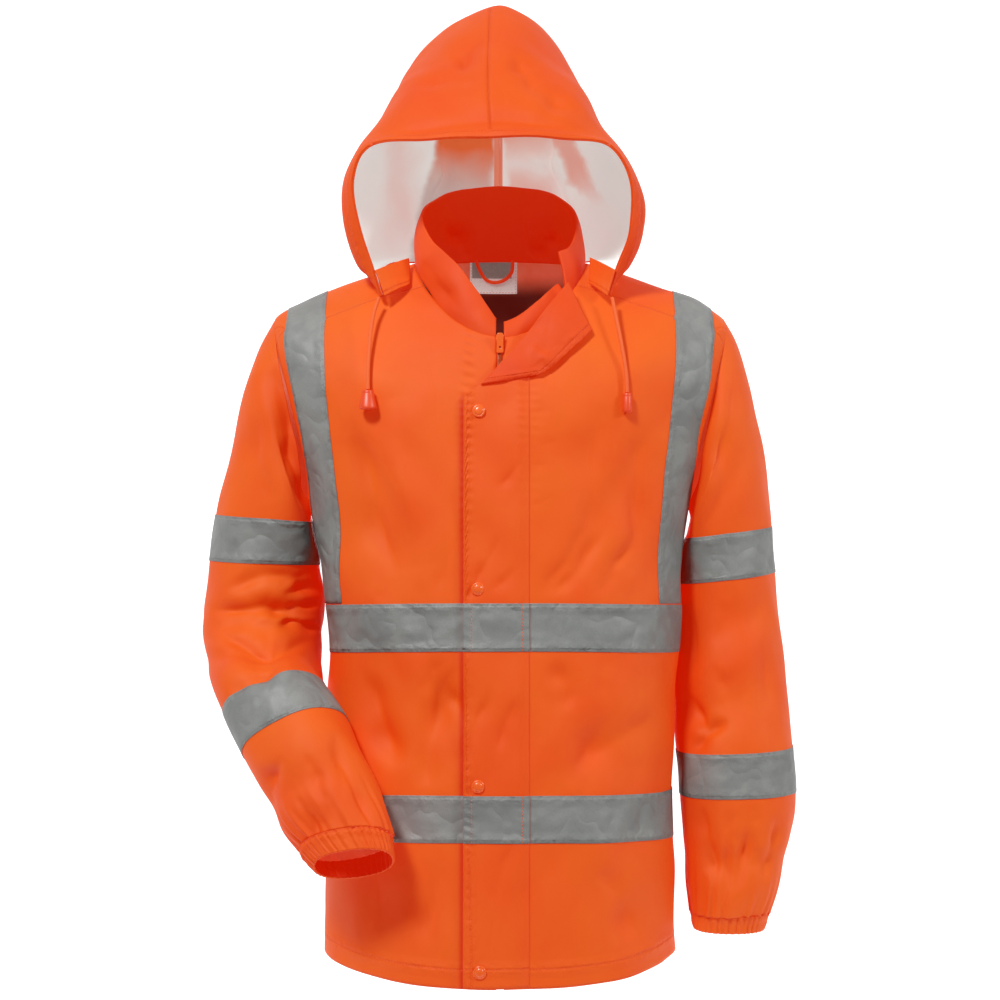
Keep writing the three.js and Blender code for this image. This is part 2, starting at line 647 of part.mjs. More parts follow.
// Hood: ribs from the face edge round to the centre seam, for the wearer's right half; x is mirrored.
// Each rib has five places.
const HOOD_RIBS = [
  [[124, -76, -2], [131, -38, 23], [113, 14, 41], [67, 67, 46], [0, 82.5, 49.4]],
  [[134, -76, 26], [152, -52, 31], [142, 12, 46], [86, 92, 62], [0, 112, 68]],
  [[148, -85, 68], [168, -62, 82], [152, 20, 92], [92, 112, 96], [0, 132, 104]],
  [[155, -95, 119], [165, -55, 125], [145, 25, 150], [82, 116, 165], [0, 146, 172]],
  [[134, -109, 153], [140, -50, 172], [112, 25, 205], [62, 102, 226], [0, 138, 240]],
  [[70, -127, 157], [92, -72, 213], [88, 6, 259], [70, 66, 291], [0, 108, 306]],
  [[0, -131, 158], [0, -86, 224], [0, -36, 280], [0, 16, 322], [0, 62, 328]],
]
const HOOD_TOP_RIB = HOOD_RIBS.length - 1
const HOOD_SEAM_RIB = 0.14
const HOOD_LEFT_SHARE = 0.93
const HOOD_LEFT_SHARES = [HOOD_LEFT_SHARE, HOOD_LEFT_SHARE, HOOD_LEFT_SHARE, 0.895, 0.85, 0.83, 1]

const HOOD_ROWS = {
  right: [0, 0.5, 1, 1.5, 2, 2.5, 3, 3.5, 3.98, 4.02, 4.5, 5, 5.5, HOOD_TOP_RIB - HOOD_SEAM_RIB - 0.006],
  left: [HOOD_TOP_RIB - HOOD_SEAM_RIB + 0.006, 6, 6.5, 7, 7.5, 7.98, 8.02, 8.5, 9, 9.5, 10, 10.5, 11, 11.5, 12],
}
const HOOD_LINES = 10
const HOOD_BACK_GAP = 1.3

// v runs from the right foot (0) over the top (6) to the left foot (12), u from the face edge to the back
function hood(u, v) {
  const ribs = [...HOOD_RIBS, ...HOOD_RIBS.slice(0, -1).reverse()]
  const places = ribs.map((rib, index) => [0, 1, 2].map((axis) => {
    const value = along(rib, u * 4, axis)
    if (axis > 0) return value
    return index <= HOOD_TOP_RIB ? -value : value * HOOD_LEFT_SHARES[2 * HOOD_TOP_RIB - index]
  }))
  return new THREE.Vector3(...[0, 1, 2].map((axis) => along(places, v, axis)))
}

const onHood = (lift = 0) => (u, v) => {
  const normal = across(hood, THREE.MathUtils.clamp(u, 0.01, 0.99), THREE.MathUtils.clamp(v, 0.02, 11.98), 0.01, 0.02)
  normal.negate()
  return { place: hood(u, v).addScaledVector(normal, lift), normal }
}

// The share of a rib that the folded edge covers: the casing at the sides, the visor hem over the face
function edgeShare(v) {
  const isVisor = Math.abs(v - HOOD_TOP_RIB) < 2
  const step = hood(0, v).distanceTo(hood(0.05, v))
  return (0.05 * (isVisor ? VISOR_HEM_WIDTH : CASING_WIDTH)) / step
}

// The share of a rib where it comes within the seam of the middle of the back
function backShare(v) {
  const off = Math.max(Math.abs(v - HOOD_TOP_RIB), HOOD_SEAM_RIB)
  let [low, high] = [0.5, 1]
  for (let step = 0; step < 20; step += 1) {
    const middle = (low + high) / 2
    if (-hood(middle, HOOD_TOP_RIB - off).x > HOOD_BACK_GAP) low = middle
    else high = middle
  }
  return low
}

// Lines 0 to 2 cover the folded edge, the others go on to the back
function hoodLine(line, v) {
  const share = edgeShare(v)
  return line <= 2 ? (share * line) / 2 : lerp(share, backShare(v), (line - 2) / (HOOD_LINES - 2))
}

function addHood() {
  const at = (line, v) => onHood()(hoodLine(line, v), v)
  const sheet = (last, rows) => new Sheet().grid(at, wholeSteps(0, last), rows)
  solid('hood_right', sheet(HOOD_LINES, HOOD_ROWS.right), -CLOTH, 0, 'orange')
  solid('hood_left', sheet(HOOD_LINES, HOOD_ROWS.left), -CLOTH, 0, 'orange')
  const rows = [...HOOD_ROWS.right, ...HOOD_ROWS.left]
  const edge = (name, low, high) => {
    solid(name, sheet(2, rows.filter((v) => v >= low && v <= high)), SEAM, SEAM + 2.4, 'orange')
  }
  edge('hood_casing_right', 0, 4)
  edge('hood_casing_left', 8, 12)
  edge('hood_visor_hem', 4, 8)
}

// Hood flaps: from the casing to the collar, over the shoulder
const HOOD_FLAP = {
  topOut: [132, -77.7, 25],
  topIn: [98.5, -26, 43],
  lowOut: [122.5, -78, -3],
  lowIn: [95.5, -53, 13],
}

function addHoodFlap(label, side) {
  const share = side > 0 ? HOOD_LEFT_SHARE : 1
  const corner = (name) => {
    const [x, y, z] = HOOD_FLAP[name]
    const isOut = name.endsWith('Out')
    return new THREE.Vector3(side * x * (isOut ? share : 1), y, z)
  }
  const [topOut, topIn, lowOut, lowIn] = ['topOut', 'topIn', 'lowOut', 'lowIn'].map(corner)
  const surface = (u, v) => {
    const low = lowOut.clone().lerp(lowIn, u)
    const high = topOut.clone().lerp(topIn, u)
    const place = low.lerp(high, v)
    place.y -= 4 * Math.sin(Math.PI * u)
    return place
  }
  const sheet = new Sheet().grid(onPlain(surface, -side), range(4), range(3))
  solid(`hood_flap_${label}`, sheet, -1, 1, 'orange')
}

// Braces on the fronts and, over the shoulders, on the back
const BRACE_TURN_ROW = 14.2
const BRACE_LIFT = 0.8

// The highest row of a brace on the front, where it meets the shoulder seam
function braceTop(part) {
  let [low, high] = [ARMHOLE_MID, 17]
  for (let step = 0; step < 24; step += 1) {
    const middle = (low + high) / 2
    if (angleAt((height) => braceX(height, part), middle) > seamAngle(middle)) low = middle
    else high = middle
  }
  return low - 0.01
}

// The ring above the widest one that has this half width
function rowOfHalf(half) {
  let [low, high] = [13.5, NECK_ROW]
  for (let step = 0; step < 30; step += 1) {
    const middle = (low + high) / 2
    if (along(RING_ROWS, middle, 0) > half) low = middle
    else high = middle
  }
  return low
}

function addBraces(label, side) {
  const low = BODY_BANDS.upper[1] + 0.02
  const rows = [low, ...panelRows.filter((row) => row > low + 0.1 && row < 15.01)]
  const front = onBody((line, row) => mirror(frontLine(line, row), side), (line, row) => row)
  solid(`brace_front_${label}`, new Sheet().grid(front, BRACE_LINES, rows), SEAM, SEAM + TAPE, 'tape')

  const parts = range(4)
  const tops = new Map(parts.map((part) => [part, braceTop(part)]))
  const sheet = new Sheet()
  const overX = (part) => lerp(229, 187, part)
  const turnAngle = (part) => angleAt(() => overX(part), BRACE_TURN_ROW)
  const overAngle = (part, v) => lerp(-turnAngle(part), seamAngle(tops.get(part)) - 0.2, v)
  const overRow = (part, v) => {
    const spread = Math.abs(cosDeg(overAngle(part, v))) ** (2 / 2.15)
    return v === 0 ? BRACE_TURN_ROW : rowOfHalf(overX(part) / spread)
  }
  const over = onBody((part, v) => mirror(overAngle(part, v), side), overRow)
  const backRow = (part, v) => lerp(low, BRACE_TURN_ROW, v)
  const fade = (v) => THREE.MathUtils.smoothstep(v, 0.6, 1)
  const backX = (part, v) => (height) => lerp(braceX(height, part), overX(part), fade(v))
  const back = onBody((part, v, row) => mirror(-angleAt(backX(part, v), row), side), backRow)
  sheet.grid(back, parts, range(14))
  sheet.grid(over, parts, range(10))
  return solid(`brace_back_${label}`, sheet, BRACE_LIFT, BRACE_LIFT + TAPE, 'tape')
}

// Zip: two tapes behind the fronts, the slider and its pull tab at the neck
function addZip() {
  for (const [label, side] of SIDES) {
    const at = onBody((x, v, row) => angleAcross(side * x, row), (x, v) => lerp(0.1, NECK_ROW - 0.1, v))
    const rows = panelRows.filter((_, index) => index % 2 === 0).map((row) => row / NECK_ROW)
    const sheet = new Sheet().grid(at, [0.5, 13], rows)
    solid(`zip_tape_${label}`, sheet, -CLOTH - 2 * SEAM - 1, -CLOTH - 2 * SEAM, 'zip')
  }
  const slider = addMesh('zip_slider', new THREE.BoxGeometry(6.6, 4.4, 12), 'zip')
  slider.position.set(0, -106, -51)
  slider.rotation.x = THREE.MathUtils.degToRad(-28)
  const tab = new THREE.Shape().moveTo(-2.6, 0).lineTo(2.6, 0).lineTo(3.4, -20).lineTo(-3.4, -20).closePath()
  tab.holes.push(new THREE.Path().absarc(0, -14, 1.6, 0, Math.PI * 2))
  const geometry = new THREE.ExtrudeGeometry(tab, { depth: 1.6, bevelEnabled: false, curveSegments: 6 })
  geometry.rotateX(Math.PI / 2)
  const pull = addMesh('zip_pull', geometry, 'plastic')
  pull.position.set(0, -111.3, -44)
}

// Drawcords: their free stretch by hand, from the casing down the chest, then the cord end
const CORDS = {
  right: { path: [[-128, -80.5, -4.5], [-133.5, -89, -24], [-136.5, -101, -52], [-137.5, -112, -80],
    [-137.5, -117.8, -103]], end: [5.8, 9.5, 20] },
  left: { path: [[118.5, -80.5, -4.5], [122, -91, -26], [127, -103.5, -54], [131.5, -111.5, -84],
    [132.5, -115, -106]],
    end: [4.6, 5, 20] },
}

function addCord(label) {
  const { path, end: [top, bottom, length] } = CORDS[label]
  const points = path.map((place) => new THREE.Vector3(...place))
  const route = new THREE.CatmullRomCurve3(points)
  const round = new THREE.Shape().absarc(0, 0, CORD_RADIUS, 0, Math.PI * 2)
  addMesh(`cord_${label}`, new THREE.ExtrudeGeometry(round,
    { extrudePath: route, steps: 14, curveSegments: 4, bevelEnabled: false }), 'cord')
  const end = addMesh(`cord_end_${label}`, new THREE.CylinderGeometry(top, bottom, length, 16), 'plastic')
  end.rotation.x = Math.PI / 2
  end.position.set(points[4].x, points[4].y, points[4].z - 2 * SEAM - length / 2)
}

// Label and hanging loop, sewn in at the middle of the back neck
function neckInside(x, inset) {
  const across = x / 94
  return -inset + 78 * Math.sqrt(1 - across * across)
}

function addLabel() {
  const surface = (u, v) => new THREE.Vector3(u, neckInside(u, 2.6), v)
  const columns = [-33.5, -16, 1.5, 19]
  solid('neck_label', new Sheet().grid(onPlain(surface), columns, [13, 32, 50.5]), 0, 0.8, 'label')
}

function addLoop() {
  const places = [[-27, 50.5], [-23, 40], [-16, 29], [-6, 25.5], [5, 28.5], [13, 37], [14.5, 50.5]]
  const points = places.map(([x, z]) => new THREE.Vector3(x, neckInside(x, 5.8), z))
  const strap = new THREE.Shape().moveTo(-0.8, -2.6).lineTo(0.8, -2.6).lineTo(0.8, 2.6).lineTo(-0.8, 2.6).closePath()
  addMesh('hanging_loop', new THREE.ExtrudeGeometry(strap,
    { extrudePath: new THREE.CatmullRomCurve3(points), steps: 16, bevelEnabled: false }), 'cord')
}

addBack()
for (const [label, side] of SIDES) {
  const surface = sleeve(label, side)
  addFront(label, side)
  addSleeve(label, side, surface)
  addCuff(label, side, surface)
  for (const place of ['upper', 'lower']) addSleeveBand(label, side, surface, place)
  addBraces(label, side)
  addHoodFlap(label, side)
  addCord(label)
}
for (const place of ['lower', 'upper']) addBodyBands(place)
addFlap()
addSnaps()
solid('lapel', new Sheet().grid(onPlain(lapel), range(4), range(8).map((part) => part * 4)), -DOUBLE_CLOTH / 2,
  DOUBLE_CLOTH / 2, 'orange')
addCollar()
addHood()
addZip()
addLabel()
addLoop()

export default jacket
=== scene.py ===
# Looks of the hi-vis work jacket. Surfaces are worked out in millimetres in the shared frame: +Z is up, the
# front faces -Y, and +X is the wearer's left.
import math

import bpy
import numpy as np
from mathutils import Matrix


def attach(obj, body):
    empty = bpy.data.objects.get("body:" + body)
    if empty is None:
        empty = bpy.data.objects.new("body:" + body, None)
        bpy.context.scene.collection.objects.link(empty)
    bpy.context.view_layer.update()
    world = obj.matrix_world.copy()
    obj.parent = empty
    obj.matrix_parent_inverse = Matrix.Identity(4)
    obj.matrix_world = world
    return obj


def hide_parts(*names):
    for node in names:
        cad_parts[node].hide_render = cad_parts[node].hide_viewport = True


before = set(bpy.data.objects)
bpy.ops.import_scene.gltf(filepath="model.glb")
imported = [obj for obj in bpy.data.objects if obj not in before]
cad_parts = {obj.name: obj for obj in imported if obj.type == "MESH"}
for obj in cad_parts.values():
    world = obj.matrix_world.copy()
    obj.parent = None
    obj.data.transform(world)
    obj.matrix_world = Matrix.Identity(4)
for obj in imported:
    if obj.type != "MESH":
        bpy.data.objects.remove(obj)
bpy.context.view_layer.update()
MM = 0.001
BODY = "jacket"

# Thicknesses of the shells, and the gap between pieces that are sewn together
CLOTH = 1.6
DOUBLE_CLOTH = 2.2
THIN_CLOTH = 1.0
TAPE_THICK = 0.5
SEAM = 0.3
# Places on the body: x across the front, and rows counted from the hem
ZIP_HALF = 4
FLAP_FREE_X = -38
FLAP_SEWN_X = 31
CASING_WIDTH = 15
VISOR_HEM_WIDTH = 10
HEM = 20
ARMPIT_ROW = 8
NECK_ROW = 18
ARMHOLE_FRONT = 20
ARMHOLE_BACK = 22
ARMHOLE_MID = 11
ARMHOLE_REACH = 3.0144
ARMHOLE_GAP = 1.2
SIDES = (("left", 1), ("right", -1))


def cos_deg(angle):
    return np.cos(np.radians(angle))


def sin_deg(angle):
    return np.sin(np.radians(angle))


def power(value, exponent):
    return np.sign(value) * np.abs(value) ** exponent


def lerp(low, high, part):
    return low + (high - low) * part


def smooth(low, high, value):
    part = np.clip((value - low) / (high - low), 0, 1)
    return part * part * (3 - 2 * part)


def along(rows, t, per_point=False):
    """A smooth curve through table rows at steps of t. With per_point, each point has its own table."""
    rows = np.asarray(rows, float)
    t = np.asarray(t, float)
    last = len(rows) - 1
    cell = np.clip(np.floor(t).astype(int), 0, last - 1)
    part = (t - cell)[..., None]

    def pick(row):
        row = np.clip(row, 0, last)
        if per_point:
            return np.take_along_axis(rows, row[None, ..., None], axis=0)[0]
        return rows[row]

    a, b = pick(cell), pick(cell + 1)
    slope_a = np.where((cell == 0)[..., None], b - a, (b - pick(cell - 1)) / 2)
    slope_b = np.where((cell == last - 1)[..., None], b - a, (pick(cell + 2) - a) / 2)
    square, cube = part * part, part * part * part
    return (a * (2 * cube - 3 * square + 1) + slope_a * (cube - 2 * square + part)
            + b * (3 * square - 2 * cube) + slope_b * (cube - square))


def curve(rows, key):
    """A smooth curve through (key, value) rows at uneven keys."""
    rows = np.asarray(rows, float)
    keys = rows[:, 0]
    key = np.clip(key, keys[0], keys[-1])
    cell = np.clip(np.searchsorted(keys, key, "left") - 1, 0, len(keys) - 2)
    return along(rows, cell + (key - keys[cell]) / (keys[cell + 1] - keys[cell]))[..., 1]


# Rings of the body from hem to neck: half width, depth to the front and back, height at the side, front and
# back, and how square the ring is
RING_ROWS = np.array([
    [190.0, 137, 142, -703, -724, -716, 2.35],
    [189.0, 136, 141, -640, -652, -646, 2.35],
    [188.5, 135, 140, -580, -573, -577, 2.35],
    [188.6, 134, 140, -530, -524, -527, 2.35],
    [190.0, 133, 139, -450, -448, -449, 2.32],
    [193.8, 131, 139, -382, -375, -378, 2.3],
    [196.5, 130, 139, -331, -325, -328, 2.3],
    [199.5, 129, 140, -272, -270, -272, 2.3],
    [206.0, 128, 140, -222, -224, -222, 2.3],
    [216.0, 127, 140, -180, -186, -178, 2.3],
    [228.0, 126, 139, -140, -154, -136, 2.3],
    [240.0, 124.5, 137, -102, -133, -98, 2.3],
    [248.0, 122.5, 133, -65, -117, -66, 2.3],
    [249.5, 120.5, 128, -38, -104, -42, 2.25],
    [243.0, 118, 122, -20, -94, -24, 2.2],
    [217.0, 115.5, 113, -4, -84, -6, 2.15],
    [180.0, 112, 103, 11, -72, 14, 2.1],
    [138.0, 108, 91, 27, -60, 33, 2.05],
    [94.0, 104, 78, 41, -47, 51, 2.0],
])

BODY_MEAN_RADIUS = 160

# Large soft folds of the body: place in degrees and ring, size in degrees and rings, depth, lean
BODY_FOLDS = (
    (180, 5.4, 24, 1.3, -8, 0),
    (124, 8.6, 7, 1.7, -5, 5),
    (57, 8.4, 7, 1.8, -5, -5),
    (128, 1.2, 9, 1.6, -4, -3),
    (55, 0.9, 10, 1.6, 4, 3),
    (240, 8.0, 9, 2.2, -6, -5),
    (300, 8.2, 9, 2.0, -6, 5),
    (292, 1.4, 12, 2.2, -5, 2),
    (246, 0.9, 12, 2.0, 5, -2),
)


def fold_depth(folds, angle, row):
    depth = 0
    for at_angle, at_row, wide, tall, deep, lean in folds:
        turn = (angle - at_angle + 540) % 360 - 180
        off = (turn - lean * (row - at_row)) / wide
        up = (row - at_row) / tall
        depth = depth + deep * np.exp(-off * off - up * up)
    return depth


def body(angle, row):
    """Body surface: angle 0 is the wearer's left side, 90 the front, 180 the right side, 270 the back."""
    angle, row = np.broadcast_arrays(np.asarray(angle, float), np.asarray(row, float))
    half, front, back, side, fore, rear, square = np.moveaxis(along(RING_ROWS, row), -1, 0)
    off, ahead = cos_deg(angle), sin_deg(angle)
    is_front = ahead > 0
    growth = 1 + fold_depth(BODY_FOLDS, angle, row) / BODY_MEAN_RADIUS
    return np.stack([
        half * power(off, 2 / square) * growth,
        -np.where(is_front, front, back) * power(ahead, 2 / square) * growth,
        side + (np.where(is_front, fore, rear) - side) * np.abs(ahead) ** 1.6,
    ], axis=-1)


def solve(is_low, low, high, shape=()):
    """Bisection for many places at once."""
    low, high = np.full(shape, float(low)), np.full(shape, float(high))
    for _ in range(26):
        middle = (low + high) / 2
        test = is_low(middle)
        low, high = np.where(test, middle, low), np.where(test, high, middle)
    return (low + high) / 2


def mirror(angle, side):
    return angle if side > 0 else 180 - angle


def angle_at(x_of, row, is_back=False):
    """The angle on the wearer's left where the body is x_of(height) away from the middle."""
    sign = -1 if is_back else 1

    def is_low(angle):
        place = body(sign * angle, row)
        return place[..., 0] > x_of(place[..., 2])
    return sign * solve(is_low, 0, 90, np.shape(row))


def angle_across(x, row):
    ring = along(RING_ROWS, row)
    return 90 - np.degrees(np.arcsin(power(x / ring[..., 0], ring[..., 6] / 2)))


def armhole_turn(row):
    return np.degrees(np.arccos(np.clip((row - ARMHOLE_MID) / ARMHOLE_REACH, -1, 1)))


def armhole_row(turn):
    return ARMHOLE_MID + ARMHOLE_REACH * cos_deg(turn)


def armhole_angle(turn, grow=0.0):
    return (np.where(sin_deg(turn) > 0, ARMHOLE_FRONT, ARMHOLE_BACK) + grow * 0.12) * sin_deg(turn)


SHOULDER_SEAM = ((12.7, 16.8), (13.4, 19.5), (14, 22.5), (15, 26.5), (16, 28), (17, 29), (18, 30))
SEAM_END_ROW = armhole_row(54)
SEAM_GAP = 0.09


def is_in_armhole(row):
    return np.abs(row - ARMHOLE_MID) < ARMHOLE_REACH - 1e-6


def seam_angle(row):
    at_armhole = armhole_angle(armhole_turn(row), ARMHOLE_GAP)
    return np.where(row <= SEAM_END_ROW + 1e-6, at_armhole, curve(SHOULDER_SEAM, row))


def front_edge(row):
    at_armhole = armhole_angle(armhole_turn(row), ARMHOLE_GAP)
    edge = np.where(row <= SEAM_END_ROW + 1e-6, at_armhole, seam_angle(row) + SEAM_GAP)
    return np.where((row < ARMPIT_ROW) & ~is_in_armhole(row), SEAM_GAP, edge)


def back_edge(row):
    plain = np.where(row < ARMPIT_ROW, -SEAM_GAP, 0)
    return np.where(is_in_armhole(row), armhole_angle(360 - armhole_turn(row), ARMHOLE_GAP), plain)


PANEL_STEP = 0.055


def panel_rows():
    """Rows of the front and back panels, closer together at the armhole and the shoulder seam."""
    turns = armhole_turn(SEAM_END_ROW)
    parts = [np.arange(0, ARMHOLE_MID - ARMHOLE_REACH, PANEL_STEP)]
    parts.append(armhole_row(180 - np.linspace(0, 180 - turns, 64)))
    parts.append(armhole_row(turns - np.linspace(0, turns, 26)[1:]))
    parts.append(np.linspace(ARMHOLE_MID + ARMHOLE_REACH, NECK_ROW, 48)[1:])
    return np.concatenate(parts)


class Crease:
    """A crease, as a line in the front view: (x, z) places, half width, and depth, which is negative
    in a trough. zone and face say which half of which piece it lies on, skew how lopsided it is."""

    def __init__(self, zone, face, places, width, depth, skew=1.0):
        self.zone, self.face = zone, face
        self.places = np.asarray(places, float)
        self.width, self.depth, self.skew = width, depth, skew

    def height(self, points, facing, seed):
        flat = points[..., (0, 2)]
        best = np.full(flat.shape[:-1], 1e9)
        signed = np.zeros_like(best)
        share = np.zeros_like(best)
        steps = np.linalg.norm(np.diff(self.places, axis=0), axis=1)
        total, done = steps.sum(), 0.0
        for start, end, size in zip(self.places[:-1], self.places[1:], steps):
            way = (end - start) / size
            off = flat - start
            run = np.clip(off @ way, 0, size)
            gap = off - run[..., None] * way
            distance = np.linalg.norm(gap, axis=-1)
            is_near = distance < best
            best = np.where(is_near, distance, best)
            side = off[..., 0] * way[1] - off[..., 1] * way[0]
            signed = np.where(is_near, np.sign(side) * distance, signed)
            share = np.where(is_near, (done + run) / total, share)
            done += size
        wander = 0.35 * self.width * np.sin(7 * share + seed * 1.7)
        signed = signed + wander * np.minimum(1, best / self.width + 0.3)
        lopsided = np.where(signed > 0, self.skew, 1 / self.skew)
        width = self.width * lopsided * (0.8 + 0.4 * np.sin(math.pi * share))
        uneven = 1 + 0.3 * np.sin(11 * share + seed * 2.3)
        taper = np.sin(math.pi * np.clip(share, 0.02, 0.98)) ** 1.1
        turned = smooth(0.05, 0.45, facing if self.face == "front" else -facing)
        return CREASE_GAIN * self.depth * uneven * taper * turned * np.exp(-(np.abs(signed) / width) ** 1.5)


CREASES = []
# How much deeper all creases are than their tables say
CREASE_GAIN = 3.1


def crease(zone, face, places, width, depth, skew=1.0):
    CREASES.append(Crease(zone, face, places, width, depth, skew))


RANDOM = np.random.default_rng(11)


def scatter(zone, face, box, count, way, width, depth, length):
    """Small creases of a crumpled place: way is their usual direction in degrees."""
    for _ in range(count):
        middle = np.array([RANDOM.uniform(box[0], box[2]), RANDOM.uniform(box[1], box[3])])
        turn = math.radians(way + RANDOM.normal() * 22)
        half = np.array([math.cos(turn), math.sin(turn)]) * length * RANDOM.uniform(0.6, 1.2)
        bend = np.array([-half[1], half[0]]) * RANDOM.uniform(-0.2, 0.2)
        crease(zone, face, [middle - half, middle + bend, middle + half], width * RANDOM.uniform(0.7, 1.3),
               depth * RANDOM.uniform(0.2, 0.5), RANDOM.uniform(0.8, 1.4))


